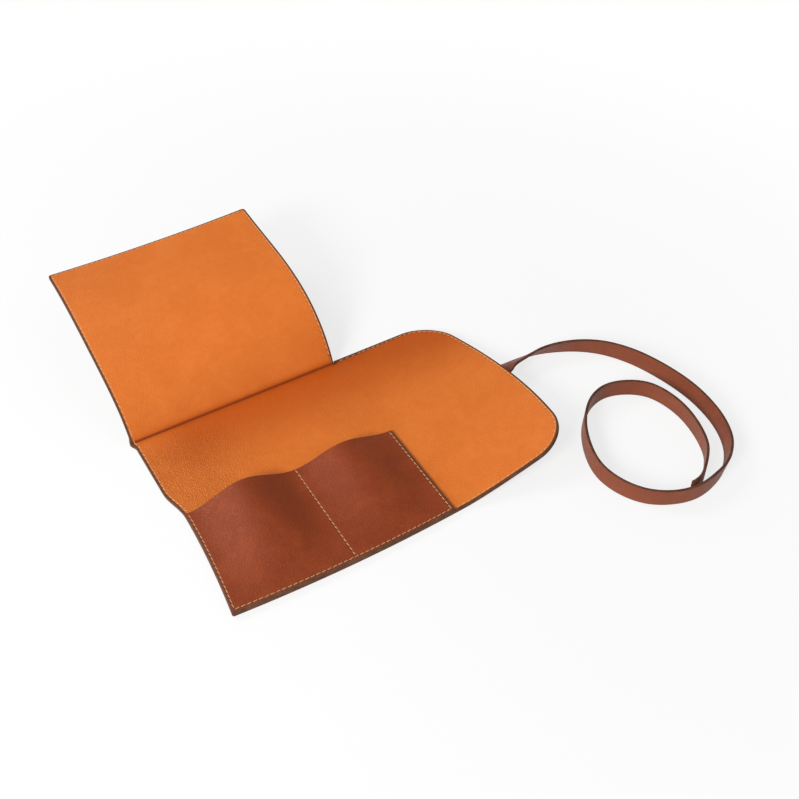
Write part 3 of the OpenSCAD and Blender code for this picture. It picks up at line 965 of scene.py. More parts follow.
@dataclass(frozen=True)
class LeatherFinish:
    """A leather's colours and grain.

    A crease_y paints shade on the leather, darker up to the fold there.
    A divider_x presses a seam in there. With seams, the leather has a pressed line under its
    stitches and a painted rim.

    Attributes:
        light, main, deep: the leather's three colours.
        pebble_mm, pebble_depth, pebble_shade: size, height and darkening of the grain.
        rim: colour of the rim, from rim_from to rim_to in from the edge, by rim_share.
        crease_shade, fold_shade: painted shade towards the crease, and in the fold.
        mottle_mm: size of the clouds of colour.
        fibre, fibre_mm, fibre_depth: change of tone, size and height of the finest grain.
        wave_mm, wave_depth: size and height of the slow unevenness.
        patch_shade, patch_dull: how far the small patches change tone and dullness.
        seam_w, divider_w, seam_depth, seam_shade: the pressed lines' reach, depth and tone.
    """

    name: str
    light: Colour
    main: Colour
    deep: Colour
    pebble_mm: float
    pebble_depth: float
    roughness: float
    specular: float
    rim: Colour = linear(76, 52, 34)
    # painted shade: a darker colour towards the crease, and a darker one in the fold itself
    crease_shade: Colour = linear(188, 82, 14)
    fold_shade: Colour = linear(124, 52, 20)
    mottle_mm: float = 26.0
    fibre: float = 0.04
    fibre_mm: float = 0.9
    fibre_depth: float = 0.03
    wave_mm: float = 7.0
    wave_depth: float = 0.06
    patch_shade: float = 0.025
    patch_dull: float = 0.05
    pebble_shade: float = 0.7
    seam_w: float = 0.8
    divider_w: float = 1.1
    seam_depth: float = 0.16
    seam_shade: float = 0.07
    rim_from: float = 0.9
    rim_to: float = 1.35
    rim_share: float = 0.96
    divider_x: float | None = None
    crease_y: float | None = None
    pebbled_left: bool = False
    seams: bool = True

    def mottled(self, bench: NodeBench, flat: object) -> bpy.types.NodeSocket:
        """The leather's three colours, in clouds."""
        cloud = bench.noise(flat, self.mottle_mm, 4.0, 0.6, 0.6)
        colour = bench.blend(bench.span(cloud, 0.36, 0.66), self.deep, self.main)
        return bench.blend(bench.span(cloud, 0.52, 0.78, 0.0, 0.8), colour, self.light)

    def pebbles(self, bench: NodeBench, flat: object, x: object,
                y: object) -> tuple[object, object]:
        """The pebbled grain.

        Args:
            bench: where the material is made.
            flat: the flat coordinates, in metres.
            x: their x.
            y: their y.

        Returns:
            The height of the grain, and the most that it reaches there.
        """
        pores = bench.node("ShaderNodeTexVoronoi", {
            "Vector": flat, "Scale": 1000 / self.pebble_mm, "Randomness": 1.0},
            feature="DISTANCE_TO_EDGE").outputs["Distance"]
        depth = self.pebble_depth
        if self.pebbled_left:
            to_right = bench.span(x, -0.052, 0.005, 1.0, 0.25)
            to_back = bench.span(y, 0.045, 0.075, 1.0, 0.3)
            depth = bench.math("MULTIPLY", bench.math("MULTIPLY", to_right, to_back), depth)
        return bench.math("MULTIPLY", bench.span(pores, 0.0, 0.42), depth), depth

    def seam_line(self, bench: NodeBench, edge: object, x: object) -> bpy.types.NodeSocket:
        """1 along the stitch lines, easing to 0 beside them."""
        seam = bench.groove(edge, PLAN.stitch_inset, self.seam_w)
        if self.divider_x is None:
            return seam
        x_mm = bench.math("MULTIPLY", x, 1000.0)
        return bench.math("MAXIMUM", seam, bench.groove(x_mm, self.divider_x, self.divider_w))

    def shade_crease(self, bench: NodeBench, colour: object, x: object,
                y: object) -> bpy.types.NodeSocket:
        """Paints shade on the leather towards the crease, and darker shade in the fold itself.

        Args:
            bench: where the material is made.
            colour: the leather's colour.
            x: flat x, in metres.
            y: flat y, in metres.

        Returns:
            The colour with the painted shade.
        """
        along = bench.math("SUBTRACT", bench.math("MULTIPLY", y, 1000.0), self.crease_y)
        # painted shade towards the crease, from 60 mm before it, weaker at the left end
        wear_and_shade = bench.math("MULTIPLY", bench.span(along, -60.0, -3.0, 0.0, 0.88),
                          bench.span(along, -1.0, 4.0, 1.0, 0.0))
        wear_and_shade = bench.math("MULTIPLY", wear_and_shade, bench.span(x, -0.064, -0.03, 0.25, 1.0))
        colour = bench.blend(wear_and_shade, colour, self.crease_shade)
        # painted shade in a soft band round the crease, and a dark painted line in the fold itself
        for width, share, tone in ((6.0, 0.35, self.crease_shade), (1.4, 0.9, self.fold_shade)):
            colour = bench.blend(bench.math("MULTIPLY", bench.groove(along, 0.0, width), share),
                                 colour, tone)
        return colour

    def material(self) -> bpy.types.Material:
        """Builds the material.

        Returns:
            The material.
        """
        bench = NodeBench(self.name)
        flat = bench.node("ShaderNodeUVMap", uv_map="hide").outputs["UV"]
        apart = bench.node("ShaderNodeSeparateXYZ", {0: flat})
        x, y = apart.outputs["X"], apart.outputs["Y"]
        edge = bench.node("ShaderNodeAttribute", attribute_name="edge_mm").outputs["Fac"]
        patch = bench.noise(flat, self.mottle_mm / 5, 4.0, 0.62)
        fibre = bench.noise(flat, self.fibre_mm, 2.0, 0.6)
        wave = bench.noise(flat, self.wave_mm, 2.0, 0.5)
        bumps, depth = self.pebbles(bench, flat, x, y)
        colour = self.mottled(bench, flat)
        tint = bench.math(
            "ADD", bench.span(patch, 0.3, 0.72, -self.patch_shade, self.patch_shade),
            bench.span(fibre, 0.25, 0.75, -self.fibre, self.fibre))
        tint = bench.math("ADD", tint, bench.math(
            "MULTIPLY", bench.math("SUBTRACT", bumps, depth), self.pebble_shade))
        height = bench.math("MULTIPLY", bench.span(fibre, 0.2, 0.8), self.fibre_depth)
        height = bench.math("ADD", height, bumps)
        height = bench.math("ADD", height, bench.math("MULTIPLY", wave, self.wave_depth))
        if self.seams:
            seam = self.seam_line(bench, edge, x)
            height = bench.math("SUBTRACT", height,
                                bench.math("MULTIPLY", seam, self.seam_depth))
            tint = bench.math("SUBTRACT", tint, bench.math("MULTIPLY", seam, self.seam_shade))
        # painted shade towards the crease and in the fold
        if self.crease_y is not None:
            colour = self.shade_crease(bench, colour, x, y)
        colour = bench.node("ShaderNodeHueSaturation", {
            "Hue": 0.5, "Saturation": 1.0, "Value": bench.math("ADD", 1.0, tint),
            "Color": colour}).outputs["Color"]
        if self.seams:
            colour = bench.blend(bench.span(edge, self.rim_from, self.rim_to, self.rim_share, 0.0),
                                 colour, self.rim)
        dull = bench.span(patch, 0.3, 0.7, -self.patch_dull, self.patch_dull)
        return bench.surface(colour, bench.math("ADD", dull, self.roughness), self.specular,
                             height, 1.0, 1.0)


@dataclass(frozen=True)
class EdgeFinish:
    """Painted and burnished leather edges."""

    name: str = "painted_edge"
    paint: Colour = linear(112, 75, 54)
    wear_and_shade: Colour = linear(138, 98, 72)
    deep: Colour = linear(92, 58, 42)
    specular: float = 0.08

    def material(self) -> bpy.types.Material:
        """Builds the material.

        Returns:
            The material.
        """
        bench = NodeBench(self.name)
        where = bench.node("ShaderNodeTexCoord").outputs["Object"]
        blotch = bench.noise(where, 5.0, 4.0, 0.6)
        fine = bench.noise(where, 0.8, 2.0, 0.6)
        colour = bench.blend(bench.span(blotch, 0.35, 0.7), self.deep, self.paint)
        colour = bench.blend(bench.span(fine, 0.5, 0.85, 0.0, 0.5), colour, self.wear_and_shade)
        dull = bench.span(fine, 0.2, 0.8, 0.52, 0.66)
        return bench.surface(colour, dull, self.specular, fine, 0.7, 0.12)


@dataclass(frozen=True)
class ThreadFinish:
    """Waxed thread, twisted from fine strands."""

    name: str = "waxed_thread"
    main: Colour = linear(232, 200, 154)
    shade: Colour = linear(200, 158, 108)
    roughness: float = 0.55
    specular: float = 0.35

    def material(self) -> bpy.types.Material:
        """Builds the material.

        Returns:
            The material.
        """
        bench = NodeBench(self.name)
        where = bench.node("ShaderNodeTexCoord").outputs["Object"]
        strands = bench.node("ShaderNodeTexWave", {
            "Vector": where, "Scale": 900.0, "Distortion": 1.5, "Detail": 1.0},
            bands_direction="DIAGONAL").outputs["Fac"]
        age = bench.noise(where, 9.0, 3.0)
        share = bench.math("MULTIPLY", bench.span(strands, 0.1, 0.7),
                           bench.span(age, 0.2, 0.6, 0.6, 1.0))
        colour = bench.blend(share, self.shade, self.main)
        return bench.surface(colour, self.roughness, self.specular, strands, 0.6, 0.1)


@dataclass(frozen=True)
class Finishes:
    """All the roll's materials."""

    lining: bpy.types.Material
    outer: bpy.types.Material
    pocket: bpy.types.Material
    flesh: bpy.types.Material
    strap: bpy.types.Material
    edge: bpy.types.Material
    strap_edge: bpy.types.Material
    thread: bpy.types.Material

    @classmethod
    def mixed(cls) -> "Finishes":
        """Makes every finish once.

        Returns:
            The finishes.
        """
        # the lining gets painted shade towards the crease and in the fold, by its crease_y
        lining = LeatherFinish(
            "tan_lining", linear(226, 123, 49), linear(223, 119, 46), linear(219, 115, 42),
            pebble_mm=1.4, pebble_depth=0.3, roughness=0.5, specular=0.2,
            crease_y=PLAN.y_crease, pebbled_left=True)
        outer = LeatherFinish(
            "outer_leather", linear(144, 78, 50), linear(136, 72, 45), linear(124, 63, 38),
            pebble_mm=1.1, pebble_depth=0.08, roughness=0.48, specular=0.4)
        pocket = LeatherFinish(
            "pocket_leather", linear(150, 66, 27), linear(146, 62, 24), linear(138, 57, 21),
            pebble_mm=1.0, pebble_depth=0.12, roughness=0.46, specular=0.26,
            rim=linear(108, 60, 40), mottle_mm=18.0, fibre=0.06, divider_x=PLAN.x_divider)
        flesh = LeatherFinish(
            "pocket_inside", linear(150, 96, 66), linear(132, 80, 54), linear(112, 66, 44),
            pebble_mm=0.7, pebble_depth=0.05, roughness=0.8, specular=0.15, seams=False)
        strap = LeatherFinish(
            "strap_leather", linear(140, 71, 40), linear(136, 67, 37), linear(129, 62, 34),
            pebble_mm=0.9, pebble_depth=0.06, roughness=0.5, specular=0.34, mottle_mm=20.0,
            seams=False)
        strap_edge = EdgeFinish(
            "strap_edge_paint", paint=linear(104, 68, 54), wear_and_shade=linear(134, 94, 74),
            deep=linear(80, 50, 38))
        return cls(lining.material(), outer.material(), pocket.material(), flesh.material(),
                   strap.material(), EdgeFinish().material(), strap_edge.material(),
                   ThreadFinish().material())


# ---- The panel of outer leather and lining


class Section(Enum):
    """The pieces that the panel is cut into, one for each fold that the leather crosses."""

    CREASE = "crease"
    FLAP_LOW = "flap_low"
    FLAP_HIGH = "flap_high"
    SPINE = "spine"
    TONGUE = "tongue"


@dataclass(frozen=True)
class Bend:
    """How a section bends: the two bodies it joins, and where one gives way to the other."""

    first: str
    second: str
    start: tuple[float, float, float]
    end: tuple[float, float, float]

    def apply(self, piece: bpy.types.Object) -> None:
        """Bakes the piece's transform into its mesh."""
        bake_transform(piece)


@dataclass
class LeatherPanel:
    """The outer leather and its lining, from the base over the crease and round the tongue.

    Attributes:
        cut_low: how far up from the crease its section ends.
        cut_mid: how far up from the crease the flap's lower section ends.
        cut_tongue: how far out from the tongue's fold the spine's section ends.
        edge_r: radius of the painted edges.
        corner_r: radius of the base's front left corner, short of which by corner_run its
            two edges stop.
        nub: how far the bent-over leather swells out at the crease's left end, within nub_reach.
        pitch: spacing of the inner points.
        step: spacing of the outline's points.
        slit_end: how far short of the crease the slit ends.
        left_run: length in which the base's left edge comes out to the flap's.
        covered_round: share of its rounding that an edge keeps under the pocket panel.
        crease_rows: distances from the crease that get a row of points of their own.
    """

    finishes: Finishes
    cut_low: float = 6.5
    cut_mid: float = 33.0
    cut_tongue: float = 15.0
    edge_r: float = 0.45
    corner_r: float = 1.2
    nub: float = 0.9
    pitch: float = 2.0
    step: float = 1.5
    corner_run: float = 3.0
    slit_end: float = 0.5
    left_run: float = 5.0
    nub_reach: float = 1.9
    covered_round: float = 0.15
    crease_rows: tuple[float, ...] = (-2.6, -1.8, -1.2, -0.8, -0.4, 0.0, 0.4, 0.8, 1.2, 1.8, 2.6)
    pieces: dict[tuple[str, Section], bpy.types.Object] = field(default_factory=dict)

    @property
    def y_low(self) -> float:
        """Where the crease's section ends, on the flap."""
        return PLAN.y_crease + self.cut_low

    @property
    def y_mid(self) -> float:
        """Where the flap's lower section ends."""
        return PLAN.y_crease + self.cut_mid

    @property
    def x_tongue(self) -> float:
        """Where the spine's section ends, on the tongue."""
        return PLAN.x_fold + self.cut_tongue

    @property
    def y_slit(self) -> float:
        """The slit's end, just short of the crease."""
        return PLAN.y_crease - self.slit_end

    @property
    def windows(self) -> dict[Section, Window]:
        """The part of the plan that each section takes in."""
        return {
            Section.CREASE: Window(x_max=PLAN.x_slit, y_max=self.y_low),
            Section.FLAP_LOW: Window(y_min=self.y_low, y_max=self.y_mid),
            Section.FLAP_HIGH: Window(y_min=self.y_mid),
            Section.SPINE: Window(x_min=PLAN.x_slit, x_max=self.x_tongue,
                                  y_max=PLAN.y_past_back),
            Section.TONGUE: Window(x_min=self.x_tongue)}

    @property
    def bends(self) -> dict[Section, Bend]:
        """How each section bends, from the folds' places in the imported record."""
        folds = {j["child"]: j for j in frame["joints"]}
        rise = 0.52
        ahead = {
            Section.CREASE: ("flap_root", (0, math.cos(rise), math.sin(rise)), 0.5, 4.4),
            Section.FLAP_LOW: ("flap_mid", self.along_flap(PLAN.flap_root_len), 9.0, 9.0),
            Section.FLAP_HIGH: ("flap_tip", self.along_flap(
                PLAN.flap_root_len + PLAN.flap_mid_len), 9.5, 12.0),
            Section.SPINE: ("tongue_root", (1, 0, 0), 4.2, 6.5),
            Section.TONGUE: ("tongue_tip", (1, 0, 0.15), 10.0, 12.0)}
        out = {}
        for section, (child, way, back, on) in ahead.items():
            fold = folds[child]
            at, axis = np.array(fold["pos_m"]), unit(np.array(fold["axis"]))
            way = np.array(way, float)
            way = unit(way - axis * (way @ axis))
            out[section] = Bend(fold["parent"], child, tuple(at - way * back * MM),
                                tuple(at + way * on * MM))
        return out

    def along_flap(self, s: float) -> Array:
        """Which way the flap runs at that distance up from the crease, at its middle."""
        x = np.zeros(2)
        ends = PLAN.flap_point(x, np.array([s - 1, s + 1]), 0 * x)
        return unit(ends[1] - ends[0])

    def base_front(self) -> Array:
        """The base's front edge, from its left corner to the tongue's fold."""
        x = spaced(PLAN.x_left + self.corner_run, PLAN.x_fold, self.step, [PLAN.x_slit])
        return np.stack([x, PLAN.front_edge(x)], 1)

    def base_left(self) -> Array:
        """The base's left edge, from the crease to its front corner."""
        y = spaced(self.y_slit, PLAN.y_front + self.corner_run, self.step)[1:]
        eased = smooth((y - PLAN.y_crease + self.left_run) / self.left_run)
        return np.stack([PLAN.left_edge(y) - PLAN.back_inset * eased, y], 1)

    def tongue_edge(self) -> Array:
        """The tongue's edge, from its fold in front, round its end and back to the slit."""
        p, r = PLAN, PLAN.tongue_corner_r
        side_end = p.x_fold + float(p.tongue_end(-p.half_d))
        x = spaced(p.x_fold, side_end, self.step, [self.x_tongue])[1:-1]
        front = np.stack([x, -p.half_d + 0 * x], 1)
        arc = p.half_d - r + r * np.sin(np.radians(np.arange(85, -1, -5)))
        straight = spaced(r - p.half_d, p.half_d - r, self.step)[1:-1]
        across = np.concatenate([-arc, straight, arc[::-1]])
        end = np.stack([p.x_fold + p.tongue_end(across), across], 1)
        x = spaced(float(end[-1][0]), p.x_slit + p.slit, self.step, [self.x_tongue])[1:]
        back = np.stack([x, p.half_d + 0 * x], 1)
        return np.concatenate([front, end, back])

    def slit_edge(self) -> Array:
        """The slit between the tongue and the flap, from its open end in to its left side."""
        y = np.linspace(PLAN.half_d, self.y_slit, 4)[1:]
        right = np.stack([PLAN.x_slit + PLAN.slit + 0 * y, y], 1)
        return np.concatenate([right, [(PLAN.x_slit, self.y_slit),
                                       (PLAN.x_slit - PLAN.slit, self.y_slit)]])

    def flap_edge(self) -> Array:
        """The flap's edge, up its right side, along its far end and down its left side."""
        p, far_y = PLAN, PLAN.y_crease + PLAN.flap_len
        y = spaced(self.y_slit, far_y - p.flap_corner_r, self.step, [self.y_low, self.y_mid])
        lean = p.flap_drift * np.maximum(y - p.y_crease, 0) / p.flap_len
        right = np.stack([p.x_left + p.flap_w + lean, y], 1)[1:-1]
        left = np.stack([p.x_left + lean, y], 1)[::-1][1:]
        ends = [(p.x_left + p.flap_drift + w, far_y) for w in (p.flap_w, 0)]
        top_right = corner(ends[0], right[-1], ends[1], p.flap_corner_r)
        top_left = corner(ends[1], ends[0], left[0], p.flap_corner_r)
        x = spaced(top_right[-1][0], top_left[0][0], self.step)[1:-1]
        far = np.stack([x, far_y + 0 * x], 1)
        return np.concatenate([right, top_right, far, top_left, left])

    def outline(self, nub: float = 0.0) -> Outline:
        """The panel's outline.

        Args:
            nub: how far the bent-over leather swells out at the crease's left end.

        Returns:
            The outline.
        """
        front, side = self.base_front(), self.base_left()
        at = (PLAN.x_left, float(PLAN.front_edge(PLAN.x_left)))
        front_left = corner(at, side[-1], front[0], self.corner_r)
        points = np.concatenate([front, self.tongue_edge(), self.slit_edge(), self.flap_edge(),
                                 side, front_left])
        left_band = 6
        swell = nub * np.exp(-((points[:, 1] - PLAN.y_crease) / self.nub_reach) ** 2)
        points[:, 0] -= np.where(points[:, 0] < PLAN.x_left + left_band, swell, 0)
        return Outline.through(points, [(0, PLAN.x_slit), (0, self.x_tongue), (1, self.y_low),
                                        (1, self.y_mid)])

    def build(self) -> None:
        """Makes both layers of every section."""
        layers = {
            "lining": (Layer(-PLAN.lining_t, 0.0, 0.0, self.edge_r), self.outline(self.nub * 0.5),
                       self.finishes.lining, self.finishes.flesh),
            "outer": (Layer(-PLAN.body_t, -PLAN.lining_t, self.edge_r, 0.0),
                      self.outline(self.nub), self.finishes.flesh, self.finishes.outer)}
        plain = self.outline()
        for name, (layer, outline, top, under) in layers.items():
            for section, window in self.windows.items():
                rows = [PLAN.y_crease + d for d in self.crease_rows]
                cut = FlatCutter(outline, window, edge_insets(self.edge_r), self.pitch,
                                 rows if section is Section.CREASE else ()).cut()
                q = cut.points
                covered = (q[:, 1] < PLAN.mouth_y(q[:, 0])) & (q[:, 0] < PLAN.x_pocket_right)
                piece = LeatherPiece(
                    f"{name}_{section.value}", cut, layer, PLAN.place, plain.distance(q),
                    top, under, self.finishes.edge, np.where(covered, self.covered_round, 1.0))
                self.pieces[name, section] = piece.build()
                LOG.info("%s: %d faces", piece.name, len(cut.faces) * 2)

    def dress(self) -> None:
        """Bakes every piece in place, and hides the imported nodes that it stands for."""
        nodes = {Section.CREASE: ["base", "flap_root"], Section.FLAP_LOW: ["flap_mid"],
                 Section.FLAP_HIGH: ["flap_tip"], Section.SPINE: ["tongue_root"],
                 Section.TONGUE: ["tongue_tip"]}
        for (name, section), piece in self.pieces.items():
            suffix = "lining" if name == "lining" else "shell"
            self.bends[section].apply(piece)
            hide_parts(*[f"{body}_{suffix}" for body in nodes[section]])


# ---- The pocket panel


@dataclass
class PocketPanel:
    """The moulded panel that makes the two pockets.

    Each of its corners has a radius, and each edge stops a corner_run short of the corner.
    """

    finishes: Finishes
    edge_r: float = 0.45
    front_left_r: float = 1.0
    front_right_r: float = 0.7
    mouth_right_r: float = 0.9
    mouth_left_r: float = 0.7
    corner_run: float = 1.5
    pitch: float = 1.6
    step: float = 1.3
    piece: bpy.types.Object | None = None

    def outline(self) -> Outline:
        """The panel's outline.

        Returns:
            The outline.
        """
        p, run = PLAN, self.corner_run
        mouth_end = p.y_front + p.pocket_d
        mouth_left = float(p.left_edge(mouth_end))
        front_run = 2 * run
        x = spaced(p.x_left + front_run, p.x_pocket_right - run, self.step)
        front = np.stack([x, p.front_edge(x)], 1)
        y = spaced(p.y_front + run, mouth_end - p.mouth_skew - run, self.step)
        right = np.stack([p.x_pocket_right + 0 * y, y], 1)
        x = spaced(p.x_pocket_right - run, mouth_left + run, self.step)
        mouth = np.stack([x, p.mouth_y(x)], 1)
        y = spaced(mouth_end - run, p.y_front + front_run, self.step)
        left = np.stack([p.left_edge(y), y], 1)
        front_right = (p.x_pocket_right, float(p.front_edge(p.x_pocket_right)))
        mouth_right = (p.x_pocket_right, float(p.mouth_y(p.x_pocket_right)))
        front_left = (p.x_left, float(p.front_edge(p.x_left)))
        arcs = [corner(at, before, after, r, 4) for at, before, after, r in (
            (front_right, front[-1], right[0], self.front_right_r),
            (mouth_right, right[-1], mouth[0], self.mouth_right_r),
            ((mouth_left, mouth_end), mouth[-1], left[0], self.mouth_left_r),
            (front_left, left[-1], front[0], self.front_left_r))]
        return Outline.through(np.concatenate(
            [front, arcs[0], right, arcs[1], mouth, arcs[2], left, arcs[3]]))

    def build(self) -> None:
        """Makes the panel."""
        outline = self.outline()
        cut = FlatCutter(outline, Window(), edge_insets(self.edge_r), self.pitch).cut()
        q = cut.points
        edge = outline.distance(q)
        mouth = PLAN.mouth_y(q[:, 0]) - q[:, 1]
        mouth_margin, unsewn = 0.3, 4.0
        by_mouth = mouth < edge + mouth_margin
        self.piece = LeatherPiece(
            "pocket_panel_leather", cut, Layer(0.0, PLAN.panel_t, 0.0, self.edge_r),
            PLAN.place_pocket, np.where(by_mouth, np.maximum(edge, unsewn), edge),
            self.finishes.pocket, self.finishes.flesh, self.finishes.edge).build()
        LOG.info("pocket panel: %d faces", len(cut.faces) * 2)

    def dress(self) -> None:
        """Ties the panel to the base."""
        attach(self.piece, "base")
        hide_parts("pocket_panel")


# ---- Stitching


@dataclass(frozen=True)
class Seam:
    """A run of stitches: flat places, and the surface that they lie on."""

    points: Array
    place: Place
    over: float = 0.0


@dataclass
class Stitching:
    """Saddle stitches along the seams, made by Geometry Nodes.

    Attributes:
        pitch: distance from one stitch to the next.
        length: length of a stitch.
        thread: thickness of the thread.
        slant: turn of each stitch from the seam's line, in radians.
        sunk, raised: how far its ends go down and its middle bows up, in threads.
        bead_steps: sides round a stitch, and steps along it.
        mouth_gap, corner_gap, slit_gap: how far the seams keep from the pockets' mouth, the
            corners and the slit.
    """

    finishes: Finishes
    panel: LeatherPanel
    pitch: float = 3.4
    length: float = 3.1
    thread: float = 0.4
    slant: float = 0.13
    sunk: float = 0.62
    raised: float = 0.72
    bead_steps: int = 6
    mouth_gap: float = 1.2
    corner_gap: float = 0.3
    slit_gap: float = 2.6
    pieces: dict[str, bpy.types.Object] = field(default_factory=dict)

    def tree(self) -> bpy.types.NodeTree:
        """Builds the node tree that lays stitches along a run of edges.

        Returns:
            The tree.
        """
        tree = bpy.data.node_groups.new("saddle_stitches", "GeometryNodeTree")
        tree.interface.new_socket("Seam", in_out="INPUT", socket_type="NodeSocketGeometry")
        for name in ("Pitch", "Length", "Thread", "Slant"):
            tree.interface.new_socket(name, in_out="INPUT", socket_type="NodeSocketFloat")
        tree.interface.new_socket("Finish", in_out="INPUT", socket_type="NodeSocketMaterial")
        tree.interface.new_socket("Stitches", in_out="OUTPUT", socket_type="NodeSocketGeometry")
        nodes, links = tree.nodes, tree.links

        def add(kind: str, inputs: dict | None = None, **settings) -> bpy.types.Node:
            """Adds a node, and links or sets its inputs."""
            made = nodes.new(kind)
            for key, value in settings.items():
                setattr(made, key, value)
            for key, value in (inputs or {}).items():
                if isinstance(value, bpy.types.NodeSocket):
                    links.new(value, made.inputs[key])
                else:
                    made.inputs[key].default_value = value
            return made

        given = add("NodeGroupInput").outputs
        half = add("ShaderNodeMath", {0: given["Length"], 1: 0.5}, operation="MULTIPLY")
        back = add("ShaderNodeMath", {0: half.outputs[0], 1: -1.0}, operation="MULTIPLY")
        sunk = add("ShaderNodeMath", {0: given["Thread"], 1: -self.sunk}, operation="MULTIPLY")
        raised = add("ShaderNodeMath", {0: given["Thread"], 1: self.raised},
                     operation="MULTIPLY")
        start = add("ShaderNodeCombineXYZ", {"X": back.outputs[0], "Z": sunk.outputs[0]})
        top = add("ShaderNodeCombineXYZ", {"Z": raised.outputs[0]})
        end = add("ShaderNodeCombineXYZ", {"X": half.outputs[0], "Z": sunk.outputs[0]})
        bow = add("GeometryNodeCurveQuadraticBezier", {
            "Resolution": self.bead_steps, "Start": start.outputs[0], "Middle": top.outputs[0],
            "End": end.outputs[0]})
        radius = add("ShaderNodeMath", {0: given["Thread"], 1: 0.5}, operation="MULTIPLY")
        ring = add("GeometryNodeCurvePrimitiveCircle", {
            "Resolution": self.bead_steps, "Radius": radius.outputs[0]})
        bead = add("GeometryNodeCurveToMesh", {
            "Curve": bow.outputs[0], "Profile Curve": ring.outputs[0], "Fill Caps": True})
        curve = add("GeometryNodeMeshToCurve", {"Mesh": given["Seam"]})
        even = add("GeometryNodeResampleCurve", {
            "Curve": curve.outputs[0], "Length": given["Pitch"]}, mode="LENGTH")
        tangent = add("GeometryNodeInputTangent")
        lift = add("GeometryNodeInputNamedAttribute", {"Name": "lift"},
                   data_type="FLOAT_VECTOR")
        along = add("FunctionNodeAlignRotationToVector", {"Vector": tangent.outputs[0]},
                    axis="X")
        upright = add("FunctionNodeAlignRotationToVector", {
            "Rotation": along.outputs[0], "Vector": lift.outputs[0]}, axis="Z", pivot_axis="X")
        slant = add("FunctionNodeAxisAngleToRotation", {
            "Axis": (0.0, 0.0, 1.0), "Angle": given["Slant"]})
        turned = add("FunctionNodeRotateRotation", {
            "Rotation": upright.outputs[0], "Rotate By": slant.outputs[0]},
            rotation_space="LOCAL")
        laid = add("GeometryNodeInstanceOnPoints", {
            "Points": even.outputs[0], "Instance": bead.outputs[0],
            "Rotation": turned.outputs[0]})
        real = add("GeometryNodeRealizeInstances", {"Geometry": laid.outputs[0]})
        rounded = add("GeometryNodeSetShadeSmooth", {"Geometry": real.outputs[0]})
        finished = add("GeometryNodeSetMaterial", {
            "Geometry": rounded.outputs[0], "Material": given["Finish"]})
        links.new(finished.outputs[0], add("NodeGroupOutput").inputs[0])
        return tree

    def sew(self, name: str, seams: Sequence[Seam]) -> bpy.types.Object:
        """Bakes the stitches of several seams into one mesh.

        Args:
            name: the piece's name.
            seams: the runs of stitches.

        Returns:
            The object.
        """
        points, lifts, edges = [], [], []
        for seam in seams:
            over, above = np.full(len(seam.points), seam.over), 0.5
            here = seam.place(seam.points, over)
            up = seam.place(seam.points, over + above) - here
            reach = run_length(here)
            count = max(1, round(reach[-1] / self.pitch))
            trim = reach[-1] / count / 2
            at = np.concatenate([[trim], reach[(reach > trim) & (reach < reach[-1] - trim)],
                                 [reach[-1] - trim]])
            first = len(points)
            for k in range(len(at)):
                points.append([np.interp(at[k], reach, here[:, c]) for c in range(3)])
                lifts.append([np.interp(at[k], reach, up[:, c]) for c in range(3)])
                if k:
                    edges.append((first + k - 1, first + k))
        mesh = bpy.data.meshes.new(name + "_seam")
        mesh.from_pydata((np.array(points) * MM).tolist(), edges, [])
        mesh.attributes.new("lift", "FLOAT_VECTOR", "POINT").data.foreach_set(
            "vector", unit(np.array(lifts)).astype(np.float32).ravel())
        guide = link(mesh, name + "_seam")
        tree = bpy.data.node_groups.get("saddle_stitches") or self.tree()
        modifier = guide.modifiers.new("stitches", "NODES")
        modifier.node_group = tree
        values = {"Pitch": self.pitch * MM, "Length": self.length * MM,
                  "Thread": self.thread * MM, "Slant": self.slant,
                  "Finish": self.finishes.thread}
        for item in tree.interface.items_tree:
            if item.in_out == "INPUT" and item.name in values:
                modifier[item.identifier] = values[item.name]
        view = bpy.context.evaluated_depsgraph_get()
        baked = bpy.data.meshes.new_from_object(guide.evaluated_get(view))
        guide.modifiers.remove(modifier)
        bpy.data.objects.remove(guide)
        baked.name = name
        LOG.info("%s: %d faces", name, len(baked.polygons))
        return link(baked, name)

    def perimeter(self) -> dict[Section, list[Array]]:
        """The perimeter seam's flat places, in the runs that each section holds.

        Returns:
            The runs by section.
        """
        p = PLAN
        outline = self.panel.outline()
        line = outline.points + outline.inward * p.stitch_inset
        x, y = outline.points[:, 0], outline.points[:, 1]
        under = (y < p.mouth_y(x) + self.mouth_gap) & (x < p.x_pocket_right + self.mouth_gap)
        keep = ~under
        far_y = p.y_crease + p.flap_len
        corners = ((p.x_left + p.flap_drift, far_y),
                   (p.x_left + p.flap_drift + p.flap_w, far_y), (p.x_left, p.y_front))
        for at in corners:
            away = np.linalg.norm(outline.points - at, axis=1)
            keep &= away > p.flap_corner_r + self.corner_gap
        past_crease = 0.5
        by_slit = (p.x_slit, p.y_crease + past_crease)
        keep &= np.linalg.norm(outline.points - by_slit, axis=1) > self.slit_gap
        out: dict[Section, list[Array]] = {}
        for section, window in self.panel.windows.items():
            held = window.holds(outline.points) & keep
            runs, run = [], []
            count = len(held)
            first = next((i for i in range(count) if not held[i]), 0)
            for i in [(first + k) % count for k in range(count + 1)]:
                if held[i]:
                    run.append(line[i])
                elif run:
                    runs.append(np.array(run))
                    run = []
            out[section] = [run for run in runs if len(run) > 2]
        return out

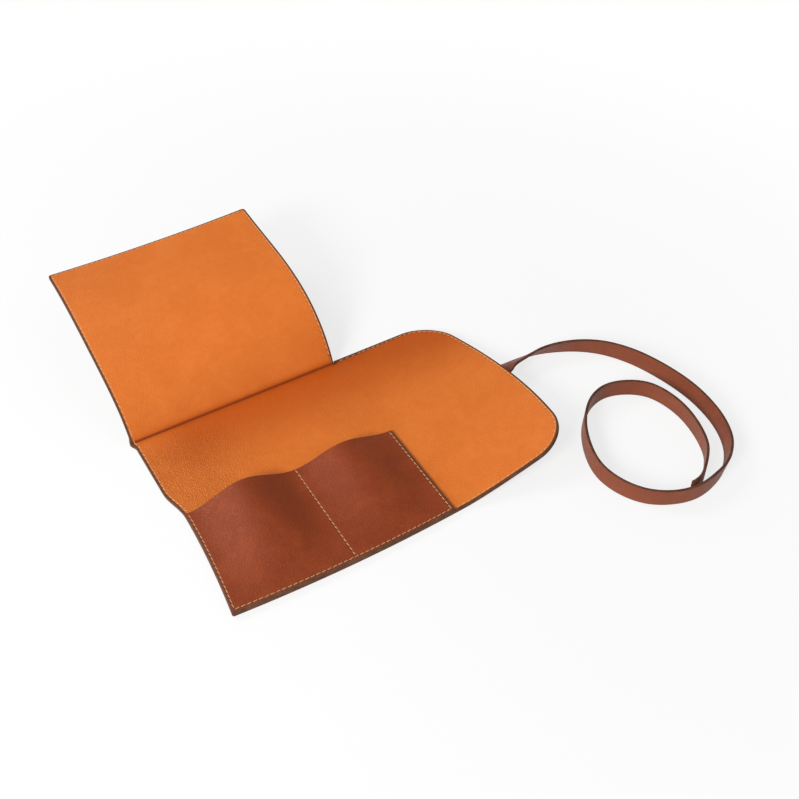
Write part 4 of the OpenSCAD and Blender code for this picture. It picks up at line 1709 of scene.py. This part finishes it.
    def pocket_runs(self) -> tuple[Array, Array, Array]:
        """The pocket panel's seam: its left, front and right runs."""
        p = PLAN
        front_gap = 2.5
        y = np.linspace(p.y_front + p.pocket_d - self.mouth_gap, p.y_front + front_gap, 60)
        left = np.stack([p.left_edge(y) + p.stitch_inset, y], 1)
        x = np.linspace(left[-1][0], p.x_pocket_right - p.stitch_inset, 80)
        front = np.stack([x, p.front_edge(x) + p.stitch_inset], 1)
        y = np.linspace(front[-1][1], float(p.mouth_y(x[-1])) - self.mouth_gap, 50)
        return left, front, np.stack([x[-1] + 0 * y, y], 1)

    def divider_run(self) -> Array:
        """The seam between the two pockets."""
        p = PLAN
        front_gap, mouth_gap = 1.0, 0.6
        y = np.linspace(float(p.front_edge(p.x_divider)) + p.stitch_inset + front_gap,
                        float(p.mouth_y(p.x_divider)) - mouth_gap, 50)
        return np.stack([p.x_divider + 0 * y, y], 1)

    def strap_box(self) -> list[Array]:
        """The box of stitches that holds the strap's end, one run for each of its sides."""
        p = PLAN
        edge_gap, start_gap, end_gap = 2, 2, 3.2
        half = p.strap_w / 2 - edge_gap
        near, away = p.strap_offset - half, p.strap_offset + half
        start, end = p.tongue_len - p.anchor_len + start_gap, p.tongue_len - end_gap
        loop = np.array([(end, near), (start, near), (start, away), (end, away), (end, near)])
        return [np.linspace(a, b, 8) for a, b in zip(loop, loop[1:])]

    def build(self) -> None:
        """Sews every seam."""
        p = PLAN
        for section, runs in self.perimeter().items():
            self.pieces[f"thread_{section.value}"] = self.sew(
                f"thread_{section.value}", [Seam(run, p.place) for run in runs])
        self.pieces["thread_pocket"] = self.sew("thread_pocket", [
            Seam(run, p.place_pocket, p.panel_t) for run in self.pocket_runs()])
        self.pieces["thread_divider"] = self.sew("thread_divider", [
            Seam(self.divider_run(), p.place_pocket, p.panel_t)])
        self.pieces["thread_strap_end"] = self.sew("thread_strap_end", [
            Seam(run, self.under_strap, p.anchor_gap + p.strap_t) for run in self.strap_box()])

    @staticmethod
    def under_strap(q: Array, n: Array) -> Array:
        """Points under the tongue, n below its underside."""
        return PLAN.tongue_point(q[:, 0], q[:, 1], -n)

    def dress(self) -> None:
        """Bakes the panel's stitches in place and ties the rest to their bodies."""
        nodes = {Section.CREASE: ["base_thread", "flap_root_thread"],
                 Section.FLAP_LOW: ["flap_mid_thread"], Section.FLAP_HIGH: ["flap_tip_thread"],
                 Section.SPINE: ["tongue_root_thread"], Section.TONGUE: ["tongue_tip_thread"]}
        for section, bend in self.panel.bends.items():
            piece = self.pieces[f"thread_{section.value}"]
            bend.apply(piece)
            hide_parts(*nodes[section])
        for name, body, node in (("thread_pocket", "base", "pocket_thread"),
                                 ("thread_divider", "base", "divider_thread"),
                                 ("thread_strap_end", "tongue_tip", "anchor_thread")):
            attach(self.pieces[name], body)
            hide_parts(node)


# ---- The tie strap


@dataclass
class TieStrap:
    """The long flat strap: its sewn end under the tongue and its free run on the table.

    Attributes:
        route: places that the strap runs through. Each is x past the tongue's end, y, how much
            higher it lies than a strap that stands on its edge, and its turn from flat on to
            its edge, in degrees.
        clear: how far a strap on its edge stays over the table.
        start_gap: how far past the tongue's end the free run starts.
        edge_r: radius of its edges.
        corner_steps, side_steps: sides round each edge's corners and across each face.
        smoothings: how often the route's points are doubled, on a smooth curve.
        sewn_rings: sections along the sewn end.
    """

    finishes: Finishes
    route: tuple[tuple[float, float, float, float], ...] = (
        (7, 7.6, 1.3, 33), (17.7, 9.5, 0, 44), (30.6, 9.6, 0, 59), (44.3, 6.3, 0, 71),
        (58.1, -0.4, 0, 80), (69.9, -10.5, 0, 88), (79.1, -24.3, 0, 94), (85, -38.8, 0, 98),
        (89.2, -54.9, 0, 100), (91.3, -70.8, 0, 101), (90.7, -86.7, 0, 101),
        (87.6, -101.5, 0, 102), (80.7, -116.1, 0, 103), (69.1, -127.3, 0, 100),
        (55.2, -133.1, 0, 93), (40.4, -135.2, 0, 91), (26.3, -131.8, 0, 92),
        (13.6, -123.3, 0, 89), (5.3, -110.2, 0, 87), (2.2, -94.4, 0, 85), (5.9, -78, 0, 84),
        (15.2, -60.7, 0, 85), (28.9, -47.2, 0, 87), (43.8, -42.1, 0, 89),
        (58.2, -45.8, 0, 90), (69.8, -55.9, 0, 91), (74.9, -73, 0, 91), (73.6, -92.8, 0, 91),
        (65.5, -114, 0, 90), (48.7, -129.2, 0, 90), (39, -131.5, 0, 90))
    clear: float = 0.1
    start_gap: float = 0.35
    edge_r: float = 0.4
    corner_steps: int = 3
    side_steps: int = 6
    smoothings: int = 3
    sewn_rings: int = 14
    sharp_deg: float = 50.0
    free_run: bpy.types.Object | None = None
    sewn_end: bpy.types.Object | None = None
    centres: Array | None = None

    def section(self) -> tuple[Array, list[bool]]:
        """The strap's cross-section, anticlockwise.

        Returns:
            Places as [across, through], and which of the sides after them are painted edge.
        """
        w, t, r = PLAN.strap_w / 2, PLAN.strap_t / 2, self.edge_r
        turn = 90 / self.corner_steps
        ring, painted = [], []
        for cx, cy, start in ((w - r, -(t - r), -90), (w - r, t - r, 0),
                              (-(w - r), t - r, 90), (-(w - r), -(t - r), 180)):
            on_edge = start in (-90, 90)
            for k in range(self.corner_steps + 1):
                a = math.radians(start + turn * k)
                ring.append((cx + r * math.cos(a), cy + r * math.sin(a)))
                painted.append(k < self.corner_steps or on_edge)
        places, paints = [], []
        for (a, b), paint in zip(zip(ring, ring[1:] + ring[:1]), painted):
            count = 1 if paint else self.side_steps
            for k in range(count):
                mix = k / count
                places.append((a[0] + (b[0] - a[0]) * mix, a[1] + (b[1] - a[1]) * mix))
                paints.append(paint)
        return np.array(places), paints

    def curve(self) -> tuple[Array, Array]:
        """The strap's centreline and how far it has turned on to its edge, in fine steps.

        Returns:
            The points, and the turns in degrees.
        """
        p = PLAN
        start = p.tongue_point(
            np.array([p.tongue_len + self.start_gap]), np.array([p.strap_offset]),
            np.array([-p.anchor_gap - p.strap_t / 2]))[0]
        rest = [(p.x_fold + p.tongue_len + x, y, p.strap_w / 2 + self.clear + z)
                for x, y, z, _ in self.route]
        tilt = math.degrees(math.atan(p.tongue_skew / p.half_d))
        roll = [tilt, *[turn for *_, turn in self.route]]
        line = np.column_stack([np.array([start, *rest]), roll])
        for _ in range(self.smoothings):
            padded = np.concatenate([line[:1], line, line[-1:]])
            middle = (9 * (padded[1:-2] + padded[2:-1]) - padded[:-3] - padded[3:]) / 16
            fine = np.empty((2 * len(line) - 1, 4))
            fine[0::2], fine[1::2] = line, middle
            line = fine
        return line[:, :3], line[:, 3]

    def build(self) -> None:
        """Makes the free run and the sewn end."""
        p = PLAN
        points, roll = self.curve()
        ahead = np.gradient(points, axis=0)
        slope = math.atan(p.lift_power * p.tongue_lift / p.tongue_len)
        ahead[0] = (math.cos(slope), 0, math.sin(slope))
        ahead = unit(ahead)
        across = unit(np.cross((0, 0, 1), ahead))
        up = np.cross(ahead, across)
        a = -np.radians(roll)[:, None]
        wide = across * np.cos(a) + up * np.sin(a)
        thick = up * np.cos(a) - across * np.sin(a)
        section, painted = self.section()
        rings = [c + section[:, :1] * w + section[:, 1:] * t
                 for c, w, t in zip(points, wide, thick)]
        reach = run_length(points)
        self.centres = points
        self.free_run = self.tube("strap_free_run", np.array(rings), reach, painted)
        t = np.linspace(p.tongue_len - p.anchor_len, p.tongue_len + self.start_gap,
                        self.sewn_rings)
        middle = -p.anchor_gap - p.strap_t / 2
        rings = [p.tongue_point(np.full(len(section), v), p.strap_offset - section[:, 0],
                                middle + section[:, 1])
                 for v in t]
        self.sewn_end = self.tube("strap_sewn_end", np.array(rings)[:, ::-1], t - t[-1],
                                  painted[::-1][1:] + painted[::-1][:1])

    def tube(self, name: str, rings: Array, reach: Array,
             painted: list[bool]) -> bpy.types.Object:
        """Skins a run of rings into a closed strap.

        Args:
            name: the piece's name.
            rings: points by ring and place round it.
            reach: distance along the strap of each ring.
            painted: which sides round the ring are painted edge.

        Returns:
            The object.
        """
        count, sides = rings.shape[:2]
        face, edge = 0, 1
        faces, kinds = [], []
        for i in range(count - 1):
            for j in range(sides):
                k = (j + 1) % sides
                faces.append((i * sides + j, i * sides + k, (i + 1) * sides + k,
                              (i + 1) * sides + j))
                kinds.append(edge if painted[j] else face)
        faces.append(tuple(range(sides))[::-1])
        faces.append(tuple((count - 1) * sides + j for j in range(sides)))
        kinds += [edge, edge]
        round_ring = run_length(rings[0])
        flat = np.array([(reach[i], round_ring[j]) for i in range(count) for j in range(sides)])
        mesh = leather_mesh(name, rings.reshape(-1, 3), faces, flat,
                            (self.finishes.strap, self.finishes.strap_edge), kinds,
                            self.sharp_deg)
        return link(mesh, name)

    def dress(self) -> None:
        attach(self.free_run, "tongue_tip")
        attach(self.sewn_end, "tongue_tip")
        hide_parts("strap")
        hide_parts("strap_anchor")


# ---- The studio


@dataclass(frozen=True)
class Studio:
    """The camera, the floor and the lights.

    Attributes:
        camera_at: where the camera is, in millimetres.
        looks, right: the ways that its view and its right side point.
        aim: what the lights face, in metres.
        floor_half, floor_z: half the floor's width and its height, in metres.
        floor_glow: how far the floor glows by itself near the roll, within glow_from of the
            origin. From glow_to on, in metres, it is plain white to the camera.
        world_light: how strongly the world lights the roll.
    """

    camera_at: tuple[float, float, float] = (-177.914, -440.665, 531.495)
    looks: tuple[float, float, float] = (0.35461, 0.61461, -0.70463)
    right: tuple[float, float, float] = (0.86180, -0.50717, -0.00867)
    lens_mm: float = 54.07
    sensor_mm: float = 36.0
    aim: tuple[float, float, float] = (0.03, 0.03, 0.0)
    floor_half: float = 3.0
    floor_z: float = -0.0004
    floor_glow: float = 0.75
    glow_from: float = 0.16
    glow_to: float = 0.6
    world_light: float = 0.32

    def set_camera(self) -> None:
        """Puts the camera where the photograph was taken from."""
        camera = bpy.data.cameras.new("camera")
        camera.lens, camera.sensor_width = self.lens_mm, self.sensor_mm
        camera.clip_start, camera.clip_end = 0.01, 20.0
        holder = bpy.data.objects.new("camera", camera)
        looks, right = unit(np.array(self.looks)), np.array(self.right)
        right = unit(right - looks * (right @ looks))
        up = np.cross(right, looks)
        turn = Matrix([right, up, -looks]).transposed()
        holder.matrix_world = Matrix.Translation(Vector(self.camera_at) * MM) @ turn.to_4x4()
        bpy.context.scene.collection.objects.link(holder)
        bpy.context.scene.camera = holder

    def light(self, name: str, at: Sequence[float], size: float, watts: float) -> None:
        """Adds a soft square light that faces the roll.

        Args:
            name: the light's name.
            at: where it hangs, in metres.
            size: length of its sides, in metres.
            watts: its power.
        """
        lamp = bpy.data.lights.new(name, "AREA")
        lamp.shape, lamp.size, lamp.energy = "SQUARE", size, watts
        holder = bpy.data.objects.new(name, lamp)
        holder.location = at
        way = Vector(self.aim) - Vector(at)
        holder.rotation_euler = way.to_track_quat("-Z", "Y").to_euler()
        bpy.context.scene.collection.objects.link(holder)

    def floor_finish(self) -> bpy.types.Material:
        """The pale floor, which glows evenly where the camera sees it away from the roll.

        Returns:
            The material.
        """
        bench = NodeBench("pale_floor")
        bench.shader.inputs["Base Color"].default_value = (0.9, 0.9, 0.9, 1)
        bench.shader.inputs["Roughness"].default_value = 0.9
        bench.shader.inputs["Specular IOR Level"].default_value = 0.1
        rays = bench.node("ShaderNodeLightPath").outputs
        seen = bench.math("MAXIMUM", rays["Is Camera Ray"], bench.math(
            "MAXIMUM", rays["Is Glossy Ray"], rays["Is Transmission Ray"]))
        away = bench.node("ShaderNodeVectorMath", {
            0: bench.node("ShaderNodeTexCoord").outputs["Object"]}, operation="LENGTH")
        glowing = bench.span(away.outputs["Value"], self.glow_from, self.glow_to,
                             self.floor_glow, 1.0)
        glow = bench.node("ShaderNodeEmission", {"Color": (1, 1, 1, 1), "Strength": 1.0})
        mixed = bench.node("ShaderNodeMixShader", {
            0: bench.math("MULTIPLY", seen, glowing),
            1: bench.shader.outputs[0], 2: glow.outputs[0]})
        bench.feed(bench.tree.nodes["Material Output"].inputs["Surface"], mixed.outputs[0])
        return bench.material

    def lay_floor(self) -> None:
        """Makes the floor that the roll lies on."""
        half, z = self.floor_half, self.floor_z
        mesh = bpy.data.meshes.new("floor")
        mesh.from_pydata([(-half, -half, z), (half, -half, z), (half, half, z),
                          (-half, half, z)], [], [(0, 1, 2, 3)])
        floor = link(mesh, "floor")
        mesh.materials.append(self.floor_finish())

    def set_world(self) -> None:
        """Makes the world white to the camera, and dimmer as a light."""
        world = bpy.data.worlds.new("studio")
        bpy.context.scene.world = world
        world.use_nodes = True
        tree = world.node_tree
        rays = tree.nodes.new("ShaderNodeLightPath").outputs
        white = tree.nodes["Background"].inputs
        strength = tree.nodes.new("ShaderNodeMapRange")
        strength.inputs["To Min"].default_value = self.world_light
        strength.inputs["To Max"].default_value = 1.0
        tree.links.new(rays["Is Camera Ray"], strength.inputs["Value"])
        tree.links.new(strength.outputs["Result"], white["Strength"])
        white["Color"].default_value = (1, 1, 1, 1)

    def build(self) -> None:
        """Makes the floor, the world and the lights."""
        self.lay_floor()
        self.set_world()
        self.light("key", (-1.15, -0.6, 0.84), 0.5, 21.0)
        self.light("fill", (0.8, -0.9, 1.3), 1.2, 1.5)
        self.light("back", (-0.55, 0.95, 1.0), 0.5, 7.0)
        bpy.context.scene.view_settings.view_transform = "Standard"


def main() -> None:
    """Builds the roll, its sub-assemblies in order, and the studio round it."""
    logging.basicConfig(level=logging.INFO, format="%(name)s: %(message)s")
    studio = Studio()
    studio.set_camera()
    finishes = Finishes.mixed()
    strap = TieStrap(finishes)
    strap.build()
    strap.dress()
    panel = LeatherPanel(finishes)
    panel.build()
    panel.dress()
    pockets = PocketPanel(finishes)
    pockets.build()
    pockets.dress()
    stitching = Stitching(finishes, panel)
    stitching.build()
    stitching.dress()
    studio.build()
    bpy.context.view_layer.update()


if __name__ == "__main__":
    main()
